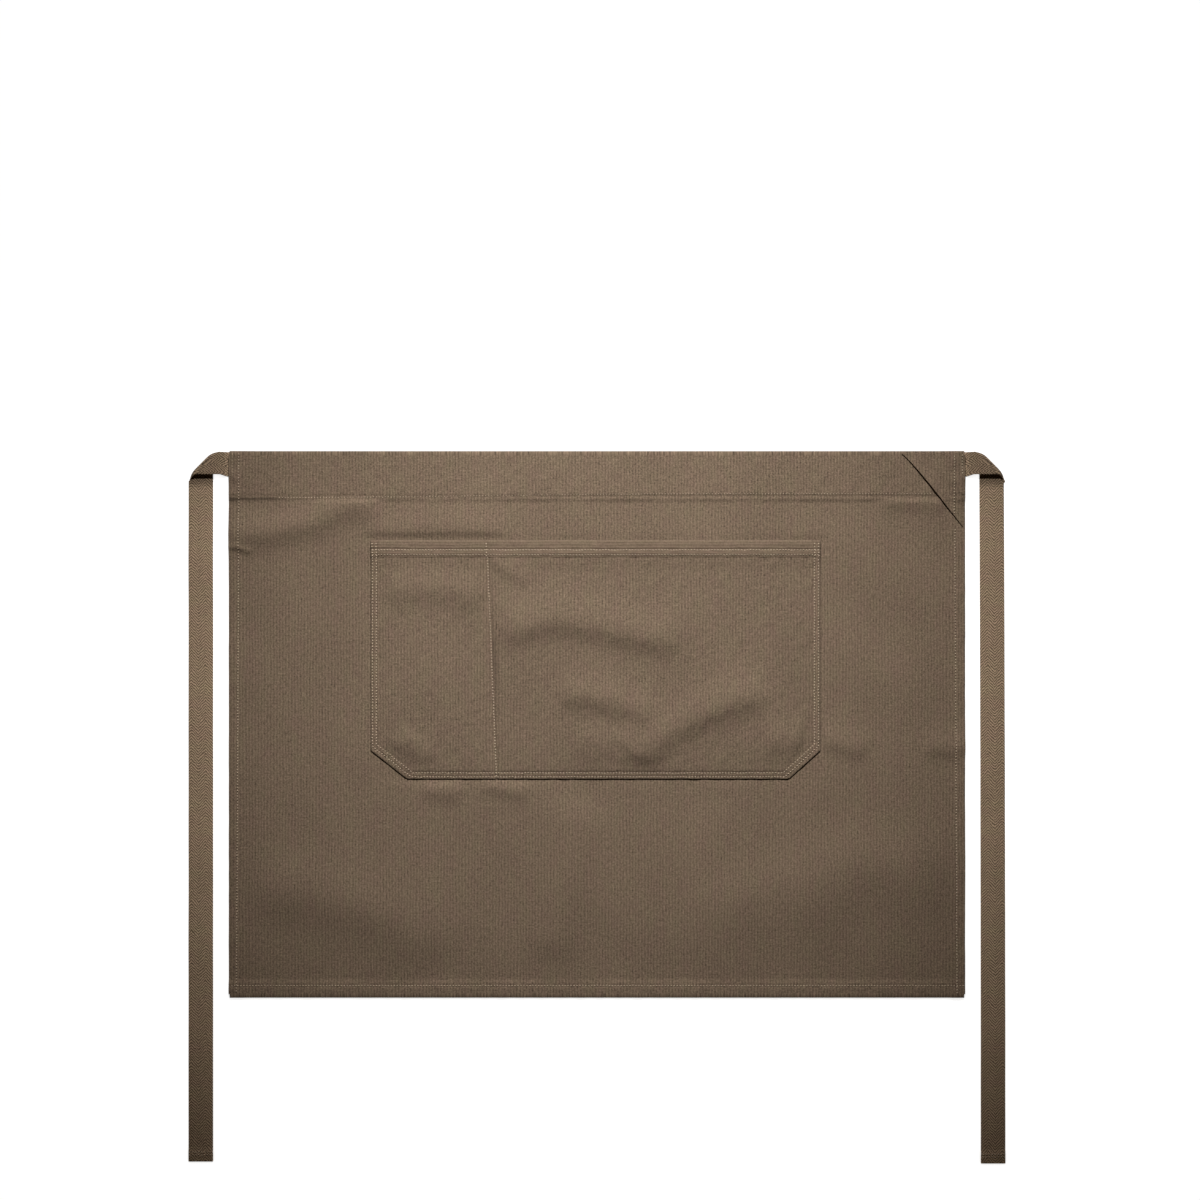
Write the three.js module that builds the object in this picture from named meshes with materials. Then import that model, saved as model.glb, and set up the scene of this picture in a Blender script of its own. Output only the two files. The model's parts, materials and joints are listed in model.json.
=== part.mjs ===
// A waist apron laid flat with its face up: one wide cloth panel with a turned waistband,
// a stitched two-compartment pocket, a corner tab and two tape ties folded down at the waist.
// Millimetres, +Z up. +Y runs from the bottom hem to the waist and +X to the right of the face.
// The origin lies on the surface, under the centre of the whole outline with its ties.
import * as THREE from "three";

// Cloth
const WALL = 1; // thickness of one ply
const CLEARANCE = 0.3; // air between two plies that lie on each other
const PLY = WALL + CLEARANCE;
const SAG_RUN = 18; // length over which cloth comes down from a raised ply

// Panel
const PANEL_WIDTH = 750;
const PANEL_HEIGHT = 557;
const WAISTBAND = 46; // facing turned to the back along the waist
const SIDE_HEM = 11;
const BOTTOM_HEM = 14;
const HEM_EASE = 2; // level cloth past a turned edge before it sags
const FOLD_RISE = 4; // height of the tallest soft fold

// Pocket
const POCKET_WIDTH = 458;
const POCKET_DEPTH = 243;
const POCKET_DROP = 91; // from the waist edge down to the pocket's mouth
const POCKET_SHIFT = -1.5; // from the panel's centre line to the pocket's
const LEFT_CHAMFER = 37;
const RIGHT_CHAMFER = 32;
const CHAMFER_RISE = 29;
const DIVIDER_TOP = 117; // divider seam from the pocket's left edge, at the mouth
const DIVIDER_BOTTOM = 126;
const NARROW_SLACK = 5.5; // how far each compartment stands off the panel
const WIDE_SLACK = 6;
const ARCH_POWER = 4; // how squarely a compartment arches between its seams
const SLUMP_POWER = 3; // and how late it comes down to its bottom seam
const BAND_DEPTH = 16.5; // binding over the pocket's mouth
const BAND_OVERHANG = 0.6;

// Corner tab
const TAB_WIDTH = 65; // along the waist edge
const TAB_HEIGHT = 77; // down the side edge
const TAB_POINT = 3; // blunt height of its narrow end
const TAB_SIDE_INSET = 1.2; // from the panel's edges
const TAB_WAIST_INSET = 2.4;
const TAB_EASE = 0.4;
const TAB_LIFT = 1.6; // how far its free edge stands off in the middle

// Ties
const TIE_WIDTH = 25;
const TIE_TUCK = 15; // sewn under the panel
const TIE_REACH = 41; // from the panel's side to the outer edge of the hanging run
const TIE_INSET = 1; // from the waist edge down to the tape's upper edge
const FOLD_SLIP = 3; // how far the hanging run lies outside a true diagonal fold
const LEFT_TIE_DROP = 724; // from the waist edge down to the tie's end
const RIGHT_TIE_DROP = 726;
const TIE_END_HEM = 10;

// Mesh
const CELL = 25; // longest cell of the panel's grid
const TIE_CELL = 50;
const NARROW_CELLS = 8; // across the pocket's two compartments
const WIDE_CELLS = 18;
const POCKET_CELLS = 14; // down the pocket
const TAB_CELLS = 7;
const FOLD_STEPS = 3; // facets round each turned edge
const CLOTH_TONE = "#766554";
const TAPE_TONE = "#7a6958";

const HALF_WIDTH = PANEL_WIDTH / 2;
const TOP = Math.max(PANEL_HEIGHT, LEFT_TIE_DROP, RIGHT_TIE_DROP) / 2;
const BOTTOM = TOP - PANEL_HEIGHT;
const FLOOR_PLY = WALL / 2; // middle of a ply that lies on the surface
const POCKET_LEFT = POCKET_SHIFT - POCKET_WIDTH / 2;
const POCKET_TOP = TOP - POCKET_DROP;
const BAND_FOLD = WALL / 2 + PLY; // from the outside of the band's fold to its flat legs

// Soft folds of the panel: each runs from one point to another, in shares of the panel's
// width from its left side and of its height from its waist edge. The breadth is a share of
// the width and the rise a share of FOLD_RISE.
const PANEL_FOLDS = [
  { fromX: 0.0, fromY: 0.16, toX: 0.09, toY: 0.15, breadth: 0.03, rise: 0.8 },
  { fromX: 0.08, fromY: 0.15, toX: 0.18, toY: 0.1, breadth: 0.03, rise: 1.0 },
  { fromX: 0.3, fromY: 0.65, toX: 0.44, toY: 0.645, breadth: 0.03, rise: 0.5 },
  { fromX: 0.47, fromY: 0.66, toX: 0.43, toY: 0.93, breadth: 0.045, rise: 0.9 },
  { fromX: 0.86, fromY: 0.54, toX: 0.99, toY: 0.55, breadth: 0.03, rise: 0.6 },
];

// Soft folds of the pocket, in shares of its width from its left edge and of its depth from
// its mouth. A negative rise is a dent.
const POCKET_FOLDS = [
  { fromX: 0.27, fromY: 0.44, toX: 0.4, toY: 0.35, breadth: 0.035, rise: -0.4 },
  { fromX: 0.4, fromY: 0.35, toX: 0.57, toY: 0.45, breadth: 0.035, rise: -0.4 },
  { fromX: 0.48, fromY: 0.71, toX: 0.57, toY: 0.73, breadth: 0.035, rise: -0.35 },
  { fromX: 0.6, fromY: 0.93, toX: 0.77, toY: 0.73, breadth: 0.035, rise: -0.45 },
  { fromX: 0.08, fromY: 0.88, toX: 0.12, toY: 0.83, breadth: 0.03, rise: -0.3 },
];

const clamp = (value) => Math.min(1, Math.max(0, value));
const mix = (from, to, share) => from + (to - from) * share;
const smooth = (share) => share * share * (3 - 2 * share);

// 1 up to `held` from an edge, then down to 0 over SAG_RUN.
const settle = (distance, held) => 1 - smooth(clamp((distance - held) / SAG_RUN));

// The shares 0 to 1 in equal steps.
function shares(count) {
  return Array.from({ length: count + 1 }, (_, i) => i / count);
}

// Even stations from one value to another, both included, no further apart than the cell.
function stations(from, to, cell) {
  const count = Math.max(1, Math.ceil(Math.abs(to - from) / cell));
  return shares(count).map((share) => mix(from, to, share));
}

// Stations through every value of a list, in order.
function through(breaks, cell) {
  const sorted = [...new Set(breaks)].sort((a, b) => a - b);
  const inner = sorted.slice(1).flatMap((to, k) => stations(sorted[k], to, cell).slice(1));
  return [sorted[0], ...inner];
}

// Height of a table of folds at a point given in shares: round across each fold, and dying
// away past its ends.
function foldHeight(folds, x, y, heightPerWidth) {
  let height = 0;
  for (const fold of folds) {
    const runX = fold.toX - fold.fromX;
    const runY = (fold.toY - fold.fromY) * heightPerWidth;
    const toX = x - fold.fromX;
    const toY = (y - fold.fromY) * heightPerWidth;
    const along = clamp((toX * runX + toY * runY) / (runX * runX + runY * runY));
    const away = Math.hypot(toX - along * runX, toY - along * runY) / fold.breadth;
    height += fold.rise * Math.exp(-away * away);
  }
  return height;
}

// The middle height of the panel's front ply: it lies on the surface, stands one ply higher
// over each turned edge and over the end of a tie, and rises in its soft folds.
function tieLift(x, y) {
  const beside = settle(HALF_WIDTH - Math.abs(x), TIE_TUCK + HEM_EASE);
  return beside * settle(TOP - y, TIE_WIDTH + HEM_EASE);
}

function panelLevel(x, y) {
  const side = settle(HALF_WIDTH - Math.abs(x), SIDE_HEM + HEM_EASE);
  const waist = settle(TOP - y, WAISTBAND + HEM_EASE);
  const hem = settle(y - BOTTOM, BOTTOM_HEM + HEM_EASE);
  const shareX = (x + HALF_WIDTH) / PANEL_WIDTH;
  const shareY = (TOP - y) / PANEL_HEIGHT;
  const folds = foldHeight(PANEL_FOLDS, shareX, shareY, PANEL_HEIGHT / PANEL_WIDTH);
  const free = 1 - Math.max(waist, hem, underPocket(x, y));
  return FLOOR_PLY + PLY * (side + waist + hem + tieLift(x, y)) + FOLD_RISE * folds * free;
}

// 1 where the panel lies flat under the pocket, 0 past its edges.
function underPocket(x, y) {
  const pastSide = Math.abs(x - POCKET_SHIFT) - POCKET_WIDTH / 2;
  const pastMouth = y - POCKET_TOP;
  const pastBottom = POCKET_TOP - POCKET_DEPTH - y;
  return settle(Math.max(pastSide, pastMouth, pastBottom), HEM_EASE);
}

// Closes a grid of paired front and back points into one body. `point(column, row, offset)`
// gives a point at a distance from the middle of the cloth, and `covered(i, j)` says which
// cells are cloth.
function clothGeometry(columns, rows, point, covered = () => true) {
  const positions = [];
  const index = [];
  const numbers = new Map();
  const isCloth = (i, j) =>
    i >= 0 && j >= 0 && i < columns.length - 1 && j < rows.length - 1 && covered(i, j);
  const corner = (i, j, face) => {
    const key = `${i} ${j} ${face}`;
    if (!numbers.has(key)) {
      numbers.set(key, positions.length / 3);
      positions.push(...point(columns[i], rows[j], (face * WALL) / 2));
    }
    return numbers.get(key);
  };
  const quad = (a, b, c, d) => index.push(a, b, c, a, c, d);
  const rim = (i0, j0, i1, j1) =>
    quad(corner(i0, j0, -1), corner(i1, j1, -1), corner(i1, j1, 1), corner(i0, j0, 1));
  for (let i = 0; i < columns.length - 1; i++) {
    for (let j = 0; j < rows.length - 1; j++) {
      if (!isCloth(i, j)) continue;
      const cell = [[i, j], [i + 1, j], [i + 1, j + 1], [i, j + 1]];
      quad(...cell.map(([a, b]) => corner(a, b, 1)));
      quad(...cell.reverse().map(([a, b]) => corner(a, b, -1)));
      if (!isCloth(i, j - 1)) rim(i, j, i + 1, j);
      if (!isCloth(i + 1, j)) rim(i + 1, j, i + 1, j + 1);
      if (!isCloth(i, j + 1)) rim(i + 1, j + 1, i, j + 1);
      if (!isCloth(i - 1, j)) rim(i, j + 1, i, j);
    }
  }
  const geometry = new THREE.BufferGeometry();
  geometry.setAttribute("position", new THREE.Float32BufferAttribute(positions, 3));
  geometry.setIndex(index);
  geometry.computeVertexNormals();
  return geometry;
}

// The angles of a turned edge, from the flat front to the flat back of the fold.
const TURNS = shares(FOLD_STEPS).map((share) => share * Math.PI);

// A point of cloth that turns under round an edge: `front` and `under` are the middle
// heights of its two plies and `turn` is how far round it has gone. It gives how far the
// point reaches past the flat cloth, and its height.
function turned(front, under, turn, offset) {
  const radius = (front - under) / 2;
  return {
    reach: (radius + offset) * Math.sin(turn),
    height: (front + under) / 2 + (radius + offset) * Math.cos(turn),
  };
}

// Panel: one cloth whose side, bottom and waist edges are turned to the back.
function panelGeometry() {
  const sideFlat = HALF_WIDTH - WALL / 2 - PLY / 2;
  const facingLevel = (x, y) => FLOOR_PLY + PLY * tieLift(x, y);
  const edgeFlat = (x, edge, inward) => {
    const radius = (panelLevel(x, edge) - facingLevel(x, edge)) / 2;
    return edge + inward * (WALL / 2 + radius);
  };

  const side = (sign) => [
    { at: sign * (HALF_WIDTH - SIDE_HEM), sign, turn: Math.PI },
    ...[...TURNS].reverse().map((turn) => ({ at: sign * sideFlat, sign, turn })),
  ];
  const sideLevel = HALF_WIDTH - Math.max(SIDE_HEM, TIE_TUCK) - HEM_EASE;
  const pocketSide = POCKET_WIDTH / 2 + HEM_EASE;
  const flatX = through([
    -sideFlat,
    -sideLevel,
    -sideLevel + SAG_RUN,
    POCKET_SHIFT - pocketSide,
    POCKET_SHIFT + pocketSide,
    sideLevel - SAG_RUN,
    sideLevel,
    sideFlat,
  ], CELL).slice(1, -1);
  const columns = [
    ...side(-1),
    ...flatX.map((x) => ({ at: x, sign: 0, turn: 0 })),
    ...side(1).reverse(),
  ];

  const hemLevel = BOTTOM + BOTTOM_HEM + HEM_EASE;
  const waistLevel = TOP - WAISTBAND - HEM_EASE;
  const tieLevel = TOP - TIE_WIDTH - HEM_EASE;
  const flatY = through([
    hemLevel,
    hemLevel + SAG_RUN,
    POCKET_TOP - POCKET_DEPTH - HEM_EASE,
    POCKET_TOP + HEM_EASE,
    waistLevel - SAG_RUN,
    waistLevel,
    tieLevel,
    TOP - TIE_WIDTH / 2,
  ], CELL);
  const fold = (edge, sign, depths) => [
    ...depths.map((depth) => ({ at: () => edge - sign * depth, sign, turn: Math.PI })),
    ...[...TURNS].reverse().map((turn) => ({
      at: (x) => edgeFlat(x, edge, -sign),
      sign,
      turn,
    })),
  ];
  const rows = [
    ...fold(BOTTOM, -1, [BOTTOM_HEM]),
    ...flatY.map((y) => ({ at: () => y, sign: 0, turn: 0 })),
    ...fold(TOP, 1, [WAISTBAND, TIE_WIDTH + HEM_EASE]).reverse(),
  ];

  // The side hems stop one cell short of the folds along the waist and the bottom.
  const turnedColumn = (i) => columns[i].turn > 0 || columns[i + 1].turn > 0;
  const turnedRow = (j) => rows[j].turn > 0 || rows[j + 1].turn > 0;
  const covered = (i, j) =>
    !turnedColumn(i) || !(turnedRow(j) || turnedRow(j - 1) || turnedRow(j + 1));

  const point = (column, row, offset) => {
    const x = column.at;
    const y = row.at(x);
    const front = panelLevel(x, y);
    const under = column.turn > 0 ? front - PLY : facingLevel(x, y);
    const { reach, height } = turned(front, under, column.turn + row.turn, offset);
    const sideways = column.turn > 0 ? column.sign * reach : 0;
    const lengthways = row.turn > 0 ? row.sign * reach : 0;
    return [x + sideways, y + lengthways, height];
  };
  return clothGeometry(columns, rows, point, covered);
}

// Pocket: a flat-bottomed sheet with two cut corners, sewn down round its sides and along
// its divider, and standing off the panel between the seams.
const POCKET_COLUMNS = [
  ...shares(NARROW_CELLS).slice(0, -1).map((across) => ({ narrow: true, across })),
  ...shares(WIDE_CELLS).map((across) => ({ narrow: false, across })),
];

function pocketPlace(column, down) {
  const divider = POCKET_LEFT + mix(DIVIDER_TOP, DIVIDER_BOTTOM, down);
  const x = column.narrow
    ? mix(POCKET_LEFT, divider, column.across)
    : mix(divider, POCKET_LEFT + POCKET_WIDTH, column.across);
  const fromLeft = clamp((x - POCKET_LEFT) / LEFT_CHAMFER);
  const fromRight = clamp((POCKET_LEFT + POCKET_WIDTH - x) / RIGHT_CHAMFER);
  const cut = CHAMFER_RISE * (2 - fromLeft - fromRight);
  return { x, y: POCKET_TOP - (POCKET_DEPTH - cut) * down };
}

function pocketLevel(column, down) {
  const { x, y } = pocketPlace(column, down);
  const fromTop = POCKET_TOP - y;
  const slack = column.narrow ? NARROW_SLACK : WIDE_SLACK;
  const arch = 1 - (2 * column.across - 1) ** ARCH_POWER;
  const slump = 1 - down ** SLUMP_POWER;
  const folds = foldHeight(
    POCKET_FOLDS,
    (x - POCKET_LEFT) / POCKET_WIDTH,
    fromTop / POCKET_DEPTH,
    POCKET_DEPTH / POCKET_WIDTH,
  );
  const overBinding = PLY * settle(fromTop, BAND_DEPTH + HEM_EASE);
  return panelLevel(x, y) + PLY + overBinding + slack * arch * slump * (1 + folds);
}

function pocketGeometry() {
  const rows = shares(POCKET_CELLS).reverse();
  const point = (column, down, offset) => {
    const { x, y } = pocketPlace(column, down);
    const insideBand = down === 0 ? BAND_FOLD : 0;
    return [x, y - insideBand, pocketLevel(column, down) + offset];
  };
  return clothGeometry(POCKET_COLUMNS, rows, point);
}

// Pocket band: a strip folded over the pocket's mouth, one leg in front and one behind.
function pocketBandGeometry() {
  const rows = [
    { depth: BAND_DEPTH, turn: 0 },
    ...TURNS.map((turn) => ({ depth: BAND_FOLD, turn })),
    { depth: BAND_DEPTH, turn: Math.PI },
  ];
  const last = POCKET_COLUMNS.length - 1;
  const point = (column, row, offset) => {
    const down = row.depth / POCKET_DEPTH;
    const end = POCKET_COLUMNS.indexOf(column);
    const overhang = BAND_OVERHANG * ((end === last) - (end === 0));
    const middle = pocketLevel(column, down);
    const { reach, height } = turned(middle + PLY, middle - PLY, row.turn, offset);
    const { x } = pocketPlace(column, down);
    return [x + overhang, POCKET_TOP - row.depth + reach, height];
  };
  return clothGeometry(POCKET_COLUMNS, rows, point);
}

// Corner tab: a triangle sewn along the waist edge and the side, its long edge free.
function cornerTabGeometry() {
  const point = (across, up, offset) => {
    const x = mix(HALF_WIDTH - TAB_WIDTH, HALF_WIDTH - TAB_SIDE_INSET, across);
    const height = mix(TAB_POINT, TAB_HEIGHT, across);
    const y = mix(TOP - height, TOP - TAB_WAIST_INSET, up);
    const lift = TAB_LIFT * Math.sin(Math.PI * across) * (1 - up);
    return [x, y, panelLevel(x, y) + PLY + TAB_EASE + lift + offset];
  };
  return clothGeometry(shares(TAB_CELLS), shares(TAB_CELLS), point);
}

// Tie: a flat tape sewn under the panel. It runs out along the waist, folds under itself on
// a diagonal, hangs down beside the panel and ends in a turned hem. Each section has its two
// edge points; `toward` is the way in which the tape turns there, and `face` is 1 while the
// tape's face is up and -1 once the diagonal fold has laid it face down.
function tieGeometry(sign, drop) {
  const end = TOP - drop;
  const edge = TOP - TIE_INSET;
  const upper = FLOOR_PLY + PLY;
  const inner = HALF_WIDTH + TIE_REACH - TIE_WIDTH;
  const creaseSet = (WALL / 2 + PLY / 2) * Math.SQRT2; // flat cloth stops short of the crease
  const creep = FOLD_SLIP + creaseSet; // how far the tape slips along the crease
  const creaseTop = inner - creep;
  const level = (a, b, front, face) =>
    ({ a, b, front, under: front, turn: 0, toward: [0, 0], face });

  const across = (x, front) => level([x, edge], [x, edge - TIE_WIDTH], front, 1);
  const diagonalFold = TURNS.map((turn) => {
    const slipped = (creep * turn) / Math.PI;
    return {
      a: [creaseTop + slipped, edge - slipped],
      b: [creaseTop + TIE_WIDTH + slipped, edge - TIE_WIDTH - slipped],
      front: upper,
      under: FLOOR_PLY,
      turn,
      toward: [Math.SQRT1_2, Math.SQRT1_2],
      face: 1,
    };
  });

  const down = (y, front) => level([inner, y], [inner + TIE_WIDTH, y], front, -1);
  const hangStart = edge - TIE_WIDTH - creep - HEM_EASE;
  const hemStart = end + TIE_END_HEM + HEM_EASE;
  const hanging = stations(hangStart, hemStart + SAG_RUN, TIE_CELL);
  const endFold = TURNS.map((turn) => ({
    ...down(end + WALL / 2 + PLY / 2, upper),
    under: FLOOR_PLY,
    turn,
    toward: [0, -1],
  }));
  const hemEdge = { ...down(end + TIE_END_HEM, upper), under: FLOOR_PLY, turn: Math.PI };

  const sections = [
    across(HALF_WIDTH - TIE_TUCK, FLOOR_PLY),
    across(HALF_WIDTH + CLEARANCE, FLOOR_PLY),
    across(creaseTop - CLEARANCE, upper),
    ...diagonalFold,
    ...hanging.map((y) => down(y, FLOOR_PLY)),
    down(hemStart, upper),
    ...endFold,
    hemEdge,
  ];
  const point = (side, section, offset) => {
    const [x, y] = side ? section.b : section.a;
    const { reach, height } = turned(
      section.front,
      section.under,
      section.turn,
      offset * section.face,
    );
    return [sign * (x + section.toward[0] * reach), y + section.toward[1] * reach, height];
  };
  return clothGeometry(sign > 0 ? [0, 1] : [1, 0], sections, point);
}

function clothMesh(name, geometry, color) {
  const material = new THREE.MeshStandardMaterial({ color, roughness: 0.9, metalness: 0 });
  const mesh = new THREE.Mesh(geometry, material);
  mesh.name = name;
  return mesh;
}

const apron = new THREE.Group();
apron.add(
  clothMesh("apron_panel", panelGeometry(), CLOTH_TONE),
  clothMesh("pocket", pocketGeometry(), CLOTH_TONE),
  clothMesh("pocket_band", pocketBandGeometry(), CLOTH_TONE),
  clothMesh("corner_tab", cornerTabGeometry(), CLOTH_TONE),
  clothMesh("left_tie", tieGeometry(-1, LEFT_TIE_DROP), TAPE_TONE),
  clothMesh("right_tie", tieGeometry(1, RIGHT_TIE_DROP), TAPE_TONE),
);

export default apron;
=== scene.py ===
"""A waist apron laid flat with its face up, seen from straight above.

The cloth panel, its stitched two-compartment pocket, the binding over the pocket's mouth, the
corner tab and the two tape ties are surfaces worked out with numpy. Metres, +Z up, +Y towards
the waist, +X to the right of the apron's face.
"""

import json
import math
from collections import namedtuple
from functools import partial

import bpy
import numpy as np
from bpy.props import FloatProperty, FloatVectorProperty, PointerProperty
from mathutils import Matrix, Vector


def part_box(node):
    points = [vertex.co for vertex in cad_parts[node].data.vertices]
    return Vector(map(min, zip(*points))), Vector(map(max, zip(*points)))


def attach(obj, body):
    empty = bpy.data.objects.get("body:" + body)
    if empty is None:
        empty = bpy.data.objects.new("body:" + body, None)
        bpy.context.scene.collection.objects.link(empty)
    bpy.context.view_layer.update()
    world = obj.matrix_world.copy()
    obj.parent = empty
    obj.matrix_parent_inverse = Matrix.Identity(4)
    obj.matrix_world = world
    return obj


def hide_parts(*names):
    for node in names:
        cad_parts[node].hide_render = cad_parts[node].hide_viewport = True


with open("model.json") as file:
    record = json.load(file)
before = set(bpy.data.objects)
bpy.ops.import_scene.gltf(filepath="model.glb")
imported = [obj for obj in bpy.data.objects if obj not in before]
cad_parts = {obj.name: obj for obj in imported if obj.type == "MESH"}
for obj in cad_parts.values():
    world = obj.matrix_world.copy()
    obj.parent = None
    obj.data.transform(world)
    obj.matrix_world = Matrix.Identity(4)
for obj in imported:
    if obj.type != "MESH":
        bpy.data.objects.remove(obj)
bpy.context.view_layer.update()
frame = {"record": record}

bl_info = {
    "name": "Waist apron",
    "version": (1, 0, 0),
    "blender": (4, 5, 0),
    "location": "3D View > Sidebar > Apron",
    "description": "Cloth waist apron with a stitched pocket, a corner tab and two tape ties",
    "category": "Add Mesh",
}

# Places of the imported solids
PANEL_LOW, PANEL_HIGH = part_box("apron_panel")
POCKET_LOW, POCKET_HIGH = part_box("pocket")
BAND_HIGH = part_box("pocket_band")[1]
TAB_LOW, TAB_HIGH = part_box("corner_tab")
LEFT_TIE_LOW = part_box("left_tie")[0]
RIGHT_TIE_LOW, RIGHT_TIE_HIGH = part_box("right_tie")
HALF_WIDTH = PANEL_HIGH.x
TOP = PANEL_HIGH.y
BOTTOM = PANEL_LOW.y
PANEL_WIDTH = 2 * HALF_WIDTH
PANEL_HEIGHT = TOP - BOTTOM
POCKET_LEFT = POCKET_LOW.x
POCKET_RIGHT = POCKET_HIGH.x
POCKET_WIDTH = POCKET_RIGHT - POCKET_LEFT
POCKET_TOP = BAND_HIGH.y
POCKET_BOTTOM = POCKET_LOW.y
POCKET_DEPTH = POCKET_TOP - POCKET_BOTTOM

# Cloth
WALL = 0.001
PLY = 0.0013  # from the middle of one ply to the middle of the next
FLOOR_PLY = WALL / 2
STEP_RUN = 0.006  # length over which cloth comes down from a hem
TIE_RUN = 0.014  # and from the end of a tie
HEM_EASE = 0.001
PUFF = 0.0006  # how far cloth swells between two seams
SEAM_BREADTH = 0.0015
FOLD_FADE = 0.2  # share of a fold's route over which each of its ends fades
FLAP_SPARE = 0.0015  # how far a turned flap reaches past its row of stitches

# By what share a swell is uneven along its seam, and at what wavelength
PANEL_PUCKER = (0.7, 0.016)
POCKET_PUCKER = (0.6, 0.014)
BAND_PUCKER = (0.6, 0.012)

# Panel
WAISTBAND = 0.046
WAIST_SEAM = (WAISTBAND + 0.0016, WAISTBAND - 0.0025)  # its seam's depth, left and right
WAIST_SEAM_RUN = 0.5  # length over which the seam climbs from the one to the other
SIDE_HEM = 0.0095
FOLD_EASE = 0.004  # from the waist or bottom edge in to the flat cloth of its fold
BOTTOM_HEM = 0.0125
PINCH_LOW = 0.25  # height at which the small pinch of the left hem ends
PANEL_WAVE = 0.0005  # mean height of the slow waves in its free cloth
PANEL_WAVE_LENGTH = 0.09

# Pocket
LEFT_CHAMFER = 0.037
RIGHT_CHAMFER = 0.032
CHAMFER_RISE = 0.029
CHAMFER_REACH = 0.05  # how far in from a side a cut corner's seams count
CHAMFER_EASE = 0.01
DIVIDER_TOP = 0.118
DIVIDER_BOTTOM = 0.1282
NARROW_SLACK = 0.003
WIDE_SLACK = 0.0036
EDGE_FREE = 0.02  # length over which its folds rise past its edge seams
DIVIDER_FREE = 0.012
MOUTH_FREE = 0.03
POCKET_EASE = 0.008  # length over which the panel comes free of the pocket
ARCH_POWER = 4
SLUMP_POWER = 12
POCKET_SEAMS = (0.002, 0.0061)  # the two rows of stitches, from the pocket's edge
CHAMFER_EXTRA = 0.0025  # how much further in they run along the cut corners
BAND_DEPTH = 0.0165
BAND_SEAMS = (0.0097, 0.0145)
BAND_TAPER = 0.003  # over which the binding's lower edge is pressed thin
BAND_THIN = 0.4  # share of the wall that is left at that edge
BAND_PRESS = 0.6 * PLY
BAND_SINK = 0.25 * PLY
BINDING_RUN = 0.016  # over which the pocket comes down past the binding

# Corner tab
TAB_POINT = 0.003
TAB_RIGHT = TAB_HIGH.x - 0.0018
TAB_BOW = 0.003  # how far its free edge curves in
TAB_BOW_POWER = 0.6
TAB_LIFT = 0.0022
TAB_LIFT_POWER = 1.5
TAB_BLUNT = 0.0001

# Ties
TIE_WIDTH = 0.025
TIE_TUCK = 0.015
TIE_INSET = 0.001
FOLD_SLIP = 0.003
FOLD_STAND = 0.005  # how far the diagonal fold springs up
SHOULDER = 0.003  # how far the fold draws in at the tape's two edges
SHOULDER_POWER = 6
TIE_TILT = 0.003  # how far the run along the waist is raised at its upper edge
TIE_NARROW = 0.0022  # and how much narrower it therefore looks from above
TIE_END_HEM = 0.0085
RIGHT_LEAN = 0.0016  # how far the right tie's top leans towards the panel
TIE_WAVE = 0.0004
TIE_WAVE_LENGTH = 0.07
TIE_WAVE_TWIST = 0.2  # how much the waves run aslant across the tape
TIE_WAVE_START = 0.02
TIE_WAVE_RUN = 0.05

Shade = namedtuple("Shade", "depth place breadth")

# Painted shade along seams, edges and folds, each at its place from the line that it belongs to
WAIST_LINE = Shade(1, 0.0008, 0.0012)
WAIST_SHADES = (0.4, 1.3)  # painted shade along the waistband's seam and at its start
WAIST_DARK = 0.035
WAIST_DARK_RUN = 0.03
POCKET_EDGE_LINE = Shade(0.8, 0, 0.0012)
GROOVE_LINES = (Shade(0.5, 0.0079, 0.001), Shade(0.35, 0.004, 0.0009))
DIVIDER_LINE = Shade(0.25, 0.0022, 0.0014)
PAINTED_HOLLOW_SHADE = Shade(0.45, 0.004, 0.003)
HOLLOW_SHADE_DOWN = 0.52  # share of the pocket's depth at which the painted shade of a hollow right of the divider is darkest
HOLLOW_SHADE_SPAN = 0.13
BAND_EDGE_LINE = Shade(0.8, 0, 0.001)
BAND_LINE = Shade(0.15, BAND_SEAMS[0] - 0.0015, 0.001)
TAB_LINE = Shade(0.5, 0, 0.0016)
TAB_SHADE_FROM = 0.75  # share across the tab at which its painted shade begins
TAB_SHADE_RUN = 0.1
TIE_SHADE_REACH = 0.004  # how far the painted shadow of the fold covers the hanging run
TIE_SHADE_RUN = 0.01
CREASE_SHADE = 0.6
SPRUNG_SHADE = 0.45

# Stage
CAMERA_PLACE = (0.0031, 0.2112)
KEY_PLACE = Vector((0.0, 1.6, 1.7))
KEY_AIM = Vector((0.0, 0.192, 0.0))
KEY_SPREAD = 1.19  # how much wider than high its cone is
KEY_RADIUS = 0.12
SKY_COLOUR = (1, 0.7, 0.3, 1)
FLOOR_HALF = 9.0
FLOOR_DROP = 0.0002
SHADE_REACH = 0.008  # how far the painted contact shadow reaches over the floor
SHADE_SHARE = 0.6  # share of the floor's glow that the painted contact shadow can take away
LENS = 85
SENSOR = 36
NEAREST = 0.05

# Mesh
CELL = 0.004
SEAM_CELL = 0.00125
FLAP_CELL = 0.003
POCKET_CELL = 0.002
PINCH_CELL = 0.0015
TIE_CELL = 0.0012
FINE_CELL = 0.001
SIDE_FINE = 0.022  # how far in from an edge the fine cells reach
HEM_FINE = 0.024
SEAM_BELOW = 0.009
SEAM_ABOVE = 0.004
POCKET_BESIDE = 0.006
POCKET_WITHIN = 0.002
POCKET_ABOVE = 0.01
EDGE_FINE = 0.011
DIVIDER_FINE = 0.006
MOUTH_FINE = 0.02
TIE_FINE = 0.02
RIM_PLACES = (0, 0.0002, 0.0005)  # stations at a cut edge
TAB_RIM = (0, 0.004)
TAB_FINE = 0.012
TAB_ROW = 0.03
TAB_COLUMN = 0.02
TIE_RIM = (0, 0.0003, 0.0008)
TIE_SELVEDGE = 0.002
TIE_COLUMNS = 11
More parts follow.
